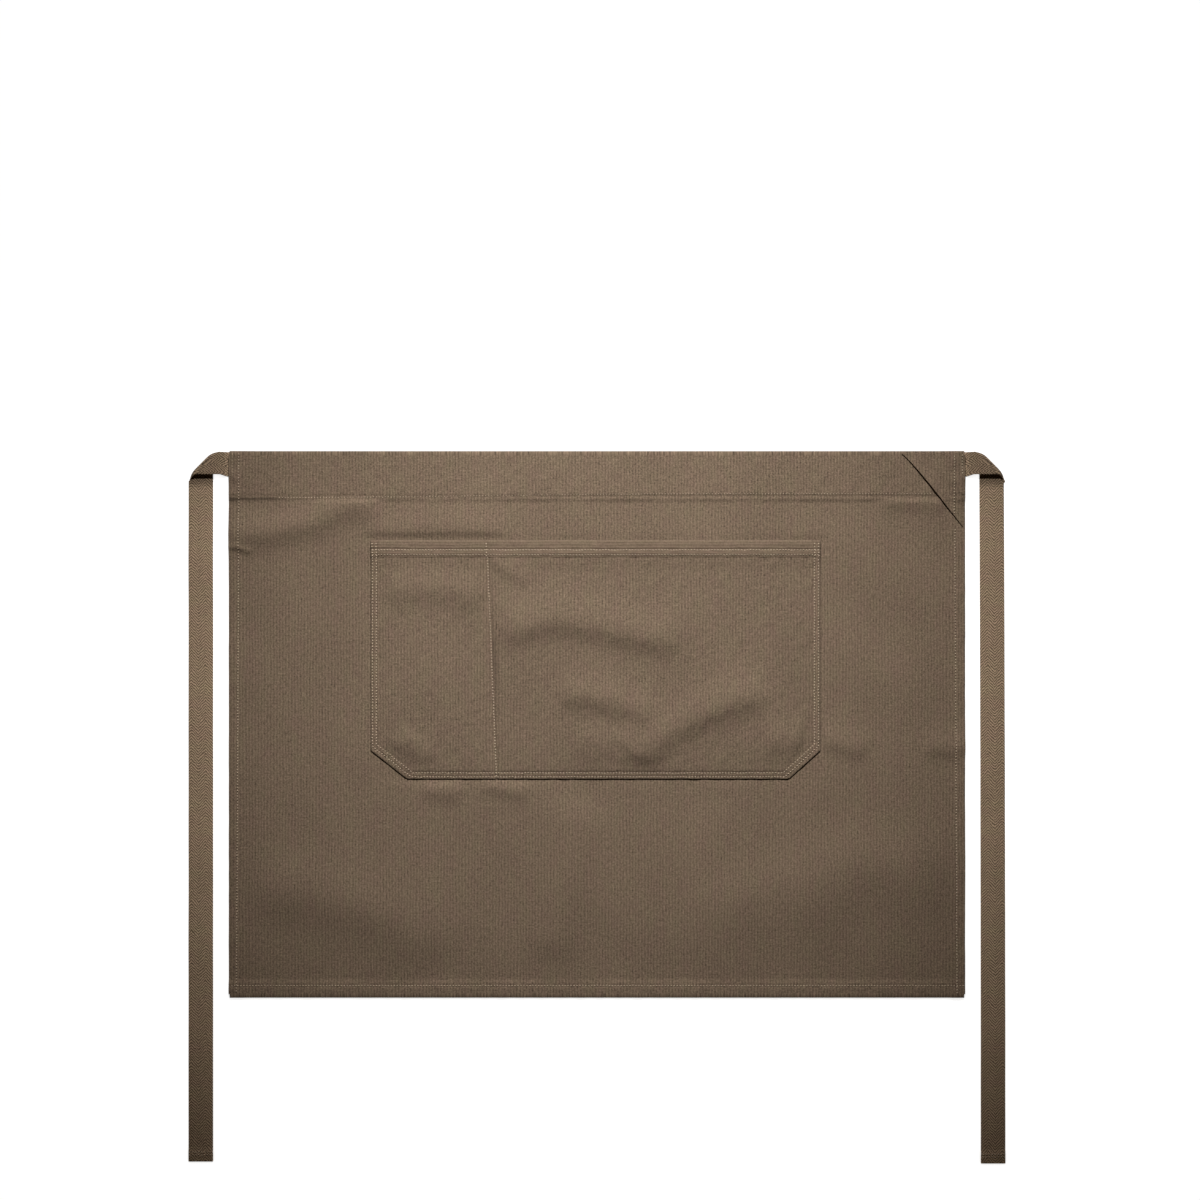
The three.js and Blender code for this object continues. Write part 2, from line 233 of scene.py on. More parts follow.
CREASE_GAP = 0.0005
CREASE_STEPS = 12
FAN_STEPS = 8
FAN_SPARE = 0.001
TURN_STEPS = 6
BAND_TURNS = 9
TOUCH = 1e-6
SHARP_ANGLE = math.radians(55)
SEED = 7

# Stitches
STITCH_PITCH = 0.003
STITCH_LENGTH = 0.0017
THREAD = 0.0006  # radius
THREAD_RINGS = (-1, -0.8, -0.3, 0.3, 0.8, 1)  # places of its rings, in half lengths
THREAD_TIP = 0.998  # share along a stitch at which it stops narrowing
THREAD_BOW = 0.8  # how far a stitch bows up, in radii
THREAD_SUNK = 1.45  # how deep it lies in a tight seam, in radii
THREAD_SWAY = 0.00012
SPOKES = 6
END_GAP = 0.001  # how far short of an edge a row ends
ROW_END = 0.002
HEM_ROW_END = 0.005
SIDE_ROW_TOP = 0.0105  # the side rows' distance from the edge, at their tops and low ends
LEFT_ROW_LOW = 0.008
RIGHT_ROW_LOW = 0.0085
WAIST_ROW_START = 0.05
WAIST_ROW_END = 0.004
WAIST_ROW_POINTS = 24
TIE_ROW = 0.0045
TIE_ROWS = (0.007, 0.0098)
TAB_ROWS = (0.0115, 0.0035)
TAB_ROW_LOW = 0.012

# Weave, in cells or threads per metre unless said otherwise
RIB_PITCH = 0.0031  # metres
RIB_WANDER = 0.5  # pitches by which a rib strays
RIB_DRIFT = (60, 18, 1)
RIB_STREAKS = (330, 230, 1)
RIB_GRAIN = (620, 620, 620)
WEFT_RATE = 1100
TAPE_PITCH = 0.003  # metres
TAPE_COLUMN = 0.0072  # metres
TAPE_SLANT = 1.1  # metres along for each metre across
TAPE_STRAY = 1.4  # pitches over which the dashes wander
TAPE_WANDER = (120, 260, 1)
TAPE_GRAIN = (1000, 1000, 1000)
WARP_RATE = 850
SELVEDGE_SHIFT = 0.0004  # metres
DYE_PATCHES = (14, 11, 14)
DYE_SPECKS = (300, 180, 300)
DYE_CAST = (70, 32, 70)
TWIST_RATE = 1800
TWIST_DEPTH = 0.3  # share by which a pattern moves the colour's value
WEAVE_DEPTH = 0.85
TURNED_DEPTH = 0.5
TONE_SWING = 0.6
HUE_SWING = 0.05
PAINTED_CREASE_SHADE = 0.5  # share of the light that a full crease's painted shade takes away
WEAVE_RELIEF = 0.0004  # metres
TWIST_RELIEF = 0.0001

Fold = namedtuple("Fold", "route above below rise")

# Soft folds of the panel. Each route is in shares of the panel's width from its left side and
# of its height from the waist edge, and above and below are its breadths on its two sides.
PANEL_FOLDS = (
    Fold(((-0.03, 0.155), (0.037, 0.149), (0.115, 0.125), (0.155, 0.100), (0.22, 0.086)),
         0.018, 0.016, 0.0062),
    Fold(((-0.008, 0.178), (0.01, 0.175), (0.034, 0.187)), 0.004, 0.003, 0.0016),
    Fold(((0.88, 0.094), (0.93, 0.091), (0.98, 0.098)), 0.009, 0.009, 0.0026),
    Fold(((0.6, 0.87), (0.74, 0.81), (0.88, 0.765), (1.03, 0.74)), 0.035, 0.05, 0.0048),
    Fold(((0.01, 0.80), (0.12, 0.81), (0.22, 0.85), (0.31, 0.94)), 0.034, 0.030, 0.0056),
    Fold(((0.03, 0.124), (0.137, 0.110)), 0.011, 0.011, -0.0015),
    Fold(((0.17, 0.145), (0.23, 0.142), (0.31, 0.141), (0.39, 0.142)), 0.018, 0.008, 0.0026),
    Fold(((0.26, 0.618), (0.32, 0.627)), 0.015, 0.009, 0.0027),
    Fold(((0.34, 0.602), (0.41, 0.630)), 0.015, 0.009, 0.0029),
    Fold(((0.59, 0.632), (0.69, 0.639)), 0.007, 0.008, -0.0011),
    Fold(((0.80, 0.524), (0.87, 0.552)), 0.015, 0.009, 0.0030),
    Fold(((0.94, 0.541), (1.01, 0.545)), 0.015, 0.009, 0.0030),
    Fold(((0.48, 0.62), (0.458, 0.767), (0.436, 0.95)), 0.025, 0.027, 0.0042),
)

# Soft folds of the pocket, in shares of its width and depth.
POCKET_FOLDS = (
    Fold(((0.25, 0.42), (0.33, 0.365), (0.412, 0.328), (0.5, 0.355), (0.6, 0.40), (0.72, 0.43)),
         0.024, 0.015, 0.0056),
    Fold(((0.4, 0.64), (0.49, 0.652), (0.56, 0.69), (0.65, 0.735)), 0.018, 0.013, 0.0042),
    Fold(((0.56, 0.985), (0.6, 0.925), (0.625, 0.85), (0.676, 0.785), (0.74, 0.722),
          (0.81, 0.675), (0.9, 0.61)), 0.022, 0.015, 0.0056),
    Fold(((0.262, 0.08), (0.316, 0.133), (0.36, 0.17)), 0.013, 0.008, 0.0023),
    Fold(((0.44, 0.84), (0.6, 0.836)), 0.013, 0.019, 0.0019),
    Fold(((0.565, 0.19), (0.565, 0.69)), 0.007, 0.008, 0.0009),
    Fold(((0.05, 0.885), (0.1, 0.81)), 0.010, 0.009, 0.0027),
    Fold(((0.08, 0.872), (0.145, 0.906)), 0.013, 0.011, 0.0023),
    Fold(((0.02, 0.24), (0.09, 0.195), (0.18, 0.2), (0.26, 0.26)), 0.018, 0.016, 0.0035),
    Fold(((0.87, 0.825), (0.97, 0.85)), 0.018, 0.019, 0.0030),
)


def mix(start, end, share):
    """Straight from start at share 0 to end at share 1."""
    return start + (end - start) * share


def smooth(share):
    """An S-curve, share squared times three less twice the share, flat outside 0 to 1."""
    share = np.clip(share, 0, 1)
    return share * share * (3 - 2 * share)


def settle(distance, held, run):
    """1 up to `held` from an edge, then down an S-curve to 0 over `run`."""
    return 1 - smooth((distance - held) / run)


def hump(distance, breadth):
    """A bell: e to the minus square of distance over breadth."""
    return np.exp(-((distance / breadth) ** 2))


def ripple(x, y, wave, seed, count=9):
    """A level between about -1 and 1: the mean of cosines of random heading and phase whose
    wavelengths lie round `wave`."""
    draw = np.random.default_rng(seed)
    heading = draw.uniform(0, math.pi, count)
    pace = 2 * math.pi / (wave * draw.uniform(0.7, 1.6, count))
    phase = draw.uniform(0, 2 * math.pi, count)
    total = 0
    for turn, rate, start in zip(heading, pace, phase):
        total = total + np.cos(rate * (x * math.cos(turn) + y * math.sin(turn)) + start)
    return total / math.sqrt(2 * count)


def uneven(x, y, share, length, seed):
    """One plus a share of a ripple of a given wavelength, and at least 0."""
    return np.maximum(1 + share * ripple(x, y, length, seed), 0)


def shade(distance, line):
    """A line of painted shade: its depth times a bell of the distance to its place, over its
    breadth.
    """
    return line.depth * hump(distance - line.place, line.breadth)


def fold_height(folds, corner, size, x, y):
    """The sum of the folds at each point, their routes being shares of a size down and to the
    right from an upper left corner."""
    scale = (size[0], -size[1])
    return sum(one_fold(np.array(fold.route) * scale + corner, fold, x, y) for fold in folds)


def one_fold(route, fold, x, y):
    """A fold's rise times a bell of the distance to the nearest stretch of its route, with one
    breadth on each side of it, fading in and out at the route's two ends."""
    runs = np.diff(route, axis=0)
    lengths = np.hypot(*runs.T)
    reached = np.concatenate([[0], np.cumsum(lengths)]) / lengths.sum()
    nearest = np.full(np.broadcast(x, y).shape, np.inf)
    side = np.zeros_like(nearest)
    share = np.zeros_like(nearest)
    for start, run, length, begin, end in zip(route, runs, lengths, reached, reached[1:]):
        to_x, to_y = x - start[0], y - start[1]
        along = np.clip((to_x * run[0] + to_y * run[1]) / length**2, 0, 1)
        away = np.hypot(to_x - along * run[0], to_y - along * run[1])
        closer = away < nearest
        nearest = np.where(closer, away, nearest)
        side = np.where(closer, run[0] * to_y - run[1] * to_x, side)
        share = np.where(closer, mix(begin, end, along), share)
    breadth = np.where(side > 0, fold.above, fold.below)
    fade = smooth(np.minimum(share, 1 - share) / FOLD_FADE)
    return fold.rise * fade * hump(nearest, breadth)


def tie_lift(x, y):
    """1 over the end of a tie under the panel's corner, 0 past it."""
    beside = settle(HALF_WIDTH - np.abs(x), TIE_TUCK + HEM_EASE, TIE_RUN)
    return beside * settle(TOP - y, TIE_WIDTH + HEM_EASE, TIE_RUN)


def turned_edge(distance, depth):
    """1 over a turned edge and 0 past it, and the swell between the edge and its seam."""
    over = settle(distance, depth + HEM_EASE, STEP_RUN)
    return over, over * (1 - hump(distance - depth, SEAM_BREADTH))


def under_pocket(x, y):
    """1 where the panel lies flat under the pocket, 0 past its edges."""
    past_side = np.maximum(POCKET_LEFT - x, x - POCKET_RIGHT)
    past_end = np.maximum(y - POCKET_TOP, POCKET_BOTTOM - y)
    return settle(np.maximum(past_side, past_end), 0, POCKET_EASE)


def panel_level(x, y):
    """Height of the middle of the panel's front ply: half a wall on the surface, one ply more
    over each turned edge and each tie's end, a small swell between an edge and its seam, and
    the soft folds where the cloth is free."""
    side, side_swell = turned_edge(HALF_WIDTH - np.abs(x), SIDE_HEM)
    waist, waist_swell = turned_edge(TOP - y, WAISTBAND)
    hem, hem_swell = turned_edge(y - BOTTOM, BOTTOM_HEM)
    plies = side + waist + hem + tie_lift(x, y)
    swell = (side_swell + waist_swell + hem_swell) * uneven(x, y, *PANEL_PUCKER, SEED)
    free = 1 - np.maximum(np.maximum(waist, hem), under_pocket(x, y))
    folds = fold_height(PANEL_FOLDS, (-HALF_WIDTH, TOP), (PANEL_WIDTH, PANEL_HEIGHT), x, y)
    waves = PANEL_WAVE * (1 + ripple(x, y, PANEL_WAVE_LENGTH, SEED + 1))
    return FLOOR_PLY + PLY * plies + PUFF * swell + free * np.maximum(folds + waves, 0)


def waist_seam(x):
    """Distance of the waistband's seam from the waist edge: it climbs a little to the right."""
    return mix(*WAIST_SEAM, smooth((x + HALF_WIDTH) / WAIST_SEAM_RUN))


def panel_painted_shade(x, y):
    """Painted shade along the waistband's seam, darkest where it starts on the left."""
    depth = mix(*WAIST_SHADES, settle(x + HALF_WIDTH, WAIST_DARK, WAIST_DARK_RUN))
    return np.minimum(depth * shade(TOP - y - waist_seam(x), WAIST_LINE), 1)


def joined(*parts):
    """Arrays side by side on a new last axis, each first spread to the shape of all."""
    return np.stack(np.broadcast_arrays(*parts), axis=-1)


def both_sides(x, y, level, half):
    """A sheet's front and back: its level plus and minus half of its wall."""
    return joined(x, y, level + half), joined(x, y, level - half)


def front_and_back(surface, *choice):
    """The front and the back of a surface that is worked out from a distance to the middle of
    its cloth, and then what else it gives."""
    front, *rest = surface(*choice, WALL / 2)
    return front, surface(*choice, -WALL / 2)[0], *rest


def mesh_object(name, points, faces, flat=None, crease=None):
    """A piece from an array of points and one of four-cornered faces. `flat` gives each point
    its place on the flat cloth, which becomes the UV map, and `crease` how much painted shade
    darkens its colour where it would lie in the shade of a seam or fold."""
    used, faces = np.unique(faces, return_inverse=True)
    faces = faces.reshape(-1, 4)
    mesh = bpy.data.meshes.new(name)
    mesh.from_pydata(points[used], [], faces.tolist())
    if flat is not None:
        layer = mesh.uv_layers.new(name="Flat")
        layer.data.foreach_set("uv", flat[used][faces].ravel())
    if crease is not None:
        shaded = mesh.attributes.new("Painted_shade", "FLOAT", "POINT")
        shaded.data.foreach_set("value", crease[used])
    mesh.update()
    mesh.shade_smooth()
    mesh.set_sharp_from_angle(angle=SHARP_ANGLE)
    piece = bpy.data.objects.new(name, mesh)
    bpy.context.scene.collection.objects.link(piece)
    return piece


def cloth_object(name, front, back, flat, crease, covered=None):
    """A sheet with a front and a back, both grids of points, closed by a rim round every edge
    of the cells that are `covered`. Each point shares its flat place and its painted shade
    (`crease`) with the one behind it."""
    rows, columns = front.shape[:2]
    count = rows * columns
    number = np.arange(count).reshape(rows, columns)
    if covered is None:
        covered = np.ones((rows - 1, columns - 1), bool)
    cells = joined(number[:-1, :-1], number[:-1, 1:], number[1:, 1:], number[1:, :-1])
    padded = np.pad(covered, 1)
    beyond = (padded[:-2, 1:-1], padded[1:-1, 2:], padded[2:, 1:-1], padded[1:-1, :-2])
    faces = [cells[covered], cells[covered][:, ::-1] + count]
    for edge, neighbour in enumerate(beyond):
        start = cells[..., edge][covered & ~neighbour]
        end = cells[..., (edge + 1) % 4][covered & ~neighbour]
        faces.append(joined(start + count, end + count, end, start))
    points = np.concatenate([front.reshape(-1, 3), back.reshape(-1, 3)])
    flat = np.tile(flat.reshape(-1, 2), (2, 1))
    return mesh_object(name, points, np.concatenate(faces), flat, np.tile(np.ravel(crease), 2))


def stations(breaks, cells):
    """Values from the first break to the last, no further apart than the cell given for each
    stretch between two breaks."""
    values = [breaks[:1]]
    for start, end, cell in zip(breaks, breaks[1:], cells):
        count = max(1, math.ceil(abs(end - start) / cell))
        values.append(np.linspace(start, end, count + 1)[1:])
    return np.concatenate(values)


def turned(front, under, turn, offset):
    """A point of cloth that turns under round an edge: its reach past the flat cloth is the
    radius plus offset times the sine of the turn, and its height the mean of the two plies
    plus the same times the cosine."""
    radius = (front - under) / 2
    return (
        (radius + offset) * np.sin(turn),
        (front + under) / 2 + (radius + offset) * np.cos(turn),
    )


def hem_stations(edge, depth, flat):
    """Places and turns of a turned edge, from the flap's raw edge round to the flat cloth."""
    flap = stations([edge - (depth + FLAP_SPARE), flat], [FLAP_CELL])
    turns = np.linspace(math.pi, 0, TURN_STEPS + 1)[1:]
    places = np.concatenate([flap, np.full(TURN_STEPS, flat)])
    return places, np.concatenate([np.full(len(flap), math.pi), turns])


def panel_surface(offset):
    """The panel at a distance from the middle of its cloth. Columns run across it and rows up
    it, closest beside its hems and the pocket. Where a column or row is turned, the point goes
    round the edge's half circle and back along the flap. Gives the points, the flat places,
    the painted shade along the waistband's seam and which cells are cloth."""
    side_flat = HALF_WIDTH - WALL / 2 - PLY / 2
    place, turn = hem_stations(HALF_WIDTH, SIDE_HEM, side_flat)
    inner = HALF_WIDTH - SIDE_FINE
    middle = stations(
        [-side_flat, -inner, POCKET_LEFT - POCKET_BESIDE, POCKET_LEFT + POCKET_WITHIN,
         POCKET_RIGHT - POCKET_WITHIN, POCKET_RIGHT + POCKET_BESIDE, inner, side_flat],
        [SEAM_CELL, CELL, POCKET_CELL, CELL, POCKET_CELL, CELL, SEAM_CELL],
    )[1:-1]
    at_x = np.concatenate([-place, middle, place[::-1]])
    turn_x = np.concatenate([turn, 0 * middle, turn[::-1]])

    waist_place, waist_turn = hem_stations(TOP, WAISTBAND, TOP - FOLD_EASE)
    hem_place, hem_turn = hem_stations(-BOTTOM, BOTTOM_HEM, -BOTTOM - FOLD_EASE)
    waist_low = TOP - WAISTBAND
    rise = stations(
        [BOTTOM + FOLD_EASE, BOTTOM + HEM_FINE, POCKET_BOTTOM - POCKET_BESIDE,
         POCKET_BOTTOM + POCKET_WITHIN, PINCH_LOW, POCKET_TOP - POCKET_WITHIN,
         POCKET_TOP + POCKET_ABOVE, waist_low - SEAM_BELOW, waist_low + SEAM_ABOVE,
         TOP - FOLD_EASE],
        [SEAM_CELL, CELL, POCKET_CELL, CELL, PINCH_CELL, POCKET_CELL, CELL, SEAM_CELL,
         FLAP_CELL],
    )
    at_y = np.concatenate([-hem_place, rise, waist_place[::-1]])
    turn_y = np.concatenate([hem_turn, 0 * rise, waist_turn[::-1]])

    x, y = np.meshgrid(at_x, at_y)
    side_turn, end_turn = np.meshgrid(turn_x, turn_y)
    sign_x, sign_y = np.sign(x), np.sign(y)
    front = panel_level(x, y)
    facing = FLOOR_PLY + PLY * tie_lift(x, y)
    under = np.where(side_turn > 0, front - PLY, facing)
    reach, height = turned(front, under, side_turn + end_turn, offset)
    last_flat = np.where(y > 0, TOP, -BOTTOM) - FOLD_EASE
    rounding = (end_turn > 0) & (np.abs(y) >= last_flat - TOUCH)
    edge = np.where(rounding, WALL / 2 + (front - under) / 2 - FOLD_EASE, 0)
    points = joined(x + sign_x * reach * (side_turn > 0),
                    y + sign_y * (reach * (end_turn > 0) - edge), height)
    flat = joined(x + sign_x * side_turn * PLY / 2, y + sign_y * end_turn * PLY / 2)
    turned_column = (turn_x[:-1] > 0) | (turn_x[1:] > 0)
    turned_row = (turn_y[:-1] > 0) | (turn_y[1:] > 0)
    near_row = np.convolve(turned_row, [1, 1, 1], "same") > 0
    covered = ~(turned_column[None, :] & near_row[:, None])
    return points, flat, panel_painted_shade(x, y) * (side_turn + end_turn == 0), covered


def place_pocket(across, down, narrow):
    """The pocket's point at a share across a compartment and a share down it. The divider
    slants, and the cut corners take their rise off the depth."""
    divider = POCKET_LEFT + mix(DIVIDER_TOP, DIVIDER_BOTTOM, down)
    x = np.where(
        narrow, mix(POCKET_LEFT, divider, across), mix(divider, POCKET_RIGHT, across)
    )
    return x, POCKET_TOP - (POCKET_DEPTH - corner_cut(x)) * down


def corner_cut(x):
    """How much the cut corners take off the pocket's depth at x."""
    from_left = np.clip((x - POCKET_LEFT) / LEFT_CHAMFER, 0, 1)
    from_right = np.clip((POCKET_RIGHT - x) / RIGHT_CHAMFER, 0, 1)
    return CHAMFER_RISE * (2 - from_left - from_right)


def pocket_inset(x, y, extra=0.0):
    """Distance in from the pocket's sides, bottom and cut corners, whichever is nearest, with
    `extra` taken off at the cut corners."""
    bottom = y - POCKET_BOTTOM
    left = x - POCKET_LEFT
    right = POCKET_RIGHT - x
    corners = []
    for side, width in ((left, LEFT_CHAMFER), (right, RIGHT_CHAMFER)):
        slope = math.hypot(CHAMFER_RISE, width)
        cut = (side * CHAMFER_RISE + bottom * width - CHAMFER_RISE * width) / slope
        corners.append(cut - extra * smooth((CHAMFER_REACH - side) / CHAMFER_EASE))
    return np.minimum.reduce([left, right, bottom, *corners])


def divider_distance(x, y):
    """Distance from the divider's seam."""
    down = (POCKET_TOP - y) / POCKET_DEPTH
    return x - POCKET_LEFT - mix(DIVIDER_TOP, DIVIDER_BOTTOM, down)


def pocket_level(x, y):
    """Height of the middle of the pocket's ply: one ply over the panel, one more over the
    binding's back leg, a small swell between the seams, and in each compartment its slack
    times an arch from seam to seam and a slump towards the bottom, with the soft folds."""
    down = np.clip((POCKET_TOP - y) / (POCKET_DEPTH - corner_cut(x)), 0, 1)
    divider = POCKET_LEFT + mix(DIVIDER_TOP, DIVIDER_BOTTOM, down)
    narrow = x < divider
    across = np.where(
        narrow,
        (x - POCKET_LEFT) / (divider - POCKET_LEFT),
        (x - divider) / (POCKET_RIGHT - divider),
    )
    slack = np.where(narrow, NARROW_SLACK, WIDE_SLACK)
    arch = 1 - np.clip(np.abs(2 * across - 1), 0, 1) ** ARCH_POWER
    slump = 1 - down**SLUMP_POWER
    inset = pocket_inset(x, y, CHAMFER_EXTRA)
    beside = divider_distance(x, y)
    seams = sum(hump(inset - seam, SEAM_BREADTH) for seam in POCKET_SEAMS)
    seams = np.clip(seams + hump(beside, SEAM_BREADTH), 0, 1)
    swell = PUFF * (1 - seams) * uneven(x, y, *POCKET_PUCKER, SEED + 2)
    binding = PLY * settle(POCKET_TOP - y, BAND_DEPTH, BINDING_RUN)
    free = smooth((inset - POCKET_SEAMS[1]) / EDGE_FREE)
    free = free * smooth(np.abs(beside) / DIVIDER_FREE) * smooth((POCKET_TOP - y) / MOUTH_FREE)
    folds = fold_height(
        POCKET_FOLDS, (POCKET_LEFT, POCKET_TOP), (POCKET_WIDTH, POCKET_DEPTH), x, y
    )
    base = panel_level(x, y) + PLY + binding + swell
    return base + np.maximum(slack * arch * slump + folds * free, 0)


def round_edge(distance, radius=WALL / 2):
    """The share of the wall left near a cut edge: a quarter circle of the wall's half."""
    inside = np.clip(distance / radius, 0, 1)
    return np.sqrt(np.clip(1 - (1 - inside) ** 2, 0.01, 1))


def compartment_columns():
    """Shares across both compartments, closer together beside each seam."""
    width = DIVIDER_TOP
    wide = POCKET_WIDTH - DIVIDER_TOP
    rim = RIM_PLACES[-1]
    cells = [FINE_CELL, FLAP_CELL, FINE_CELL]
    narrow = stations([rim, EDGE_FINE, width - DIVIDER_FINE, width], cells) / width
    broad = stations([0, DIVIDER_FINE, wide - EDGE_FINE, wide - rim], cells) / wide
    start = np.array(RIM_PLACES[:-1]) / width
    end = 1 - np.array(RIM_PLACES[-2::-1]) / wide
    across = np.concatenate([start, narrow[:-1], broad, end])
    is_narrow = np.arange(len(across)) < len(start) + len(narrow) - 1
    return across, is_narrow


def pocket_surface():
    """The pocket's front and back: its ply's level plus and minus half the wall, which thins
    to nothing at its edges. Then the flat places and the painted shade."""
    across, narrow = compartment_columns()
    down = stations([0, MOUTH_FINE, POCKET_DEPTH - EDGE_FINE, POCKET_DEPTH - RIM_PLACES[-1]],
                    [POCKET_CELL, FLAP_CELL, FINE_CELL])
    down = np.concatenate([down, POCKET_DEPTH - np.array(RIM_PLACES[-2::-1])]) / POCKET_DEPTH
    x, y = place_pocket(across[None, :], down[::-1, None], narrow[None, :])
    y = np.minimum(y, POCKET_TOP - PLY - WALL / 2)
    half = WALL / 2 * round_edge(pocket_inset(x, y))
    front, back = both_sides(x, y, pocket_level(x, y), half)
    return front, back, joined(x, y), pocket_painted_shade(x, y)


def pocket_painted_shade(x, y):
    """Painted shade along the pocket's edge, beside its divider, of a hollow right of the
    divider that the surface does not have, and in the grooves beside its lowest rows.
    """
    inset = pocket_inset(x, y)
    right = divider_distance(x, y)
    grooves = sum(shade(y - POCKET_BOTTOM, line) for line in GROOVE_LINES)
    hollow_shade = shade(right, PAINTED_HOLLOW_SHADE) * hump((POCKET_TOP - y) / POCKET_DEPTH - HOLLOW_SHADE_DOWN, HOLLOW_SHADE_SPAN)
    divider = shade(right, DIVIDER_LINE) + hollow_shade
    edge = shade(inset, POCKET_EDGE_LINE)
    return np.clip(edge + divider + grooves * (inset > POCKET_SEAMS[0]), 0, 1)


def band_surface(offset):
    """The binding at a distance from the middle of its cloth: a front leg over the pocket, a
    half turn over its mouth and a back leg. Gives the points, flat places and painted shade."""
    across, narrow = compartment_columns()
    mouth = PLY + WALL / 2
    leg = stations([BAND_DEPTH, mouth], [FINE_CELL])
    turns = np.linspace(0, math.pi, BAND_TURNS)
    depth = np.concatenate([leg, np.full(len(turns) - 2, mouth), leg[::-1]])[:, None]
    turn = np.concatenate([0 * leg, turns[1:-1], 0 * leg + math.pi])[:, None]
    x = place_pocket(across[None, :], depth / POCKET_DEPTH, narrow[None, :])[0]
    y = POCKET_TOP - depth + 0 * x
    thin = mix(BAND_THIN, 1, smooth((BAND_DEPTH - depth) / BAND_TAPER))
    inset = np.minimum(x - POCKET_LEFT, POCKET_RIGHT - x)
    under = pocket_level(x, y) - PLY
    reach, height = turned(band_top(x, y), under, turn, offset * thin * round_edge(inset))
    # Painted shade along the binding's ends and beside its upper seam
    crease = shade(inset, BAND_EDGE_LINE) + shade(depth, BAND_LINE)
    return joined(x, y + reach, height), joined(x, turn * PLY - depth), np.clip(crease, 0, 1)


def band_top(x, y):
    """Height of the middle of the binding's front leg: one ply over the pocket, swelling
    between its seams and pressed down towards its lower edge."""
    depth = POCKET_TOP - y
    seams = sum(hump(depth - seam, SEAM_BREADTH) for seam in BAND_SEAMS)
    swell = PUFF * (1 - np.clip(seams, 0, 1)) * uneven(x, y, *BAND_PUCKER, SEED + 3)
    press = BAND_PRESS * settle(BAND_DEPTH - depth, 0, BAND_TAPER)
    return pocket_level(x, y) + PLY + np.maximum(swell - press, -BAND_SINK)


def tab_depth(across):
    """How far down from the waist edge the tab's free edge lies: a straight line from its
    blunt point to its full height, less a bow."""
    straight = mix(TAB_POINT, TAB_HIGH.y - TAB_LOW.y + (TOP - TAB_HIGH.y), across)
    return straight - TAB_BOW * np.sin(math.pi * across**TAB_BOW_POWER)


def tab_level(x, y):
    """Height of the middle of the tab's ply: one ply over the panel, lifted along the middle
    of its free edge."""
    across = np.clip((x - TAB_LOW.x) / (TAB_RIGHT - TAB_LOW.x), 0, 1)
    up = np.clip(1 - (TOP - y) / tab_depth(across), 0, 1)
    lift = TAB_LIFT * np.sin(math.pi * across) * (1 - up) ** TAB_LIFT_POWER
    return panel_level(x, y) + PLY + PUFF + lift


def tab_surface():
    """The tab's front and back over its triangle, its flat places and its painted shade."""
    across = stations([0, 1], [TAB_COLUMN])
    up = np.concatenate([TAB_RIM, stations([TAB_FINE, 1], [TAB_ROW])])[:, None]
    free_edge = TOP - tab_depth(across)
    x = mix(TAB_LOW.x, TAB_RIGHT, across) + 0 * up
    y = mix(free_edge, TAB_HIGH.y, up)
    half = WALL / 2 * round_edge(y - free_edge + TAB_BLUNT)
    front, back = both_sides(x, y, tab_level(x, y), half)
    # Painted shade along the waistband's seam, on the tab's right part only
    crease = shade(TOP - y - waist_seam(x), TAB_LINE)
    crease = crease * smooth((across - TAB_SHADE_FROM) / TAB_SHADE_RUN)
    return front, back, joined(x, y), crease


def tie_lean(sign, y):
    """How far a tie's hanging run lies towards the panel at a height."""
    share = np.clip((y - RIGHT_TIE_LOW.y) / (TOP - RIGHT_TIE_LOW.y), 0, 1)
    return (RIGHT_LEAN if sign > 0 else 0) * share**2


def tie_level(sign, x, y):
    """Height of the middle of a hanging run: half a wall on the surface, one ply more over its
    turned end, and slow waves."""
    end = RIGHT_TIE_LOW.y if sign > 0 else LEFT_TIE_LOW.y
    hem = settle(y - end, TIE_END_HEM + HEM_EASE, STEP_RUN)
    free = (1 - hem) * smooth((TOP - TIE_WIDTH - TIE_WAVE_START - y) / TIE_WAVE_RUN)
    waves = TIE_WAVE * uneven(x * TIE_WAVE_TWIST, y, 1, TIE_WAVE_LENGTH, SEED + 4 + sign)
    return FLOOR_PLY + PLY * hem + waves * free


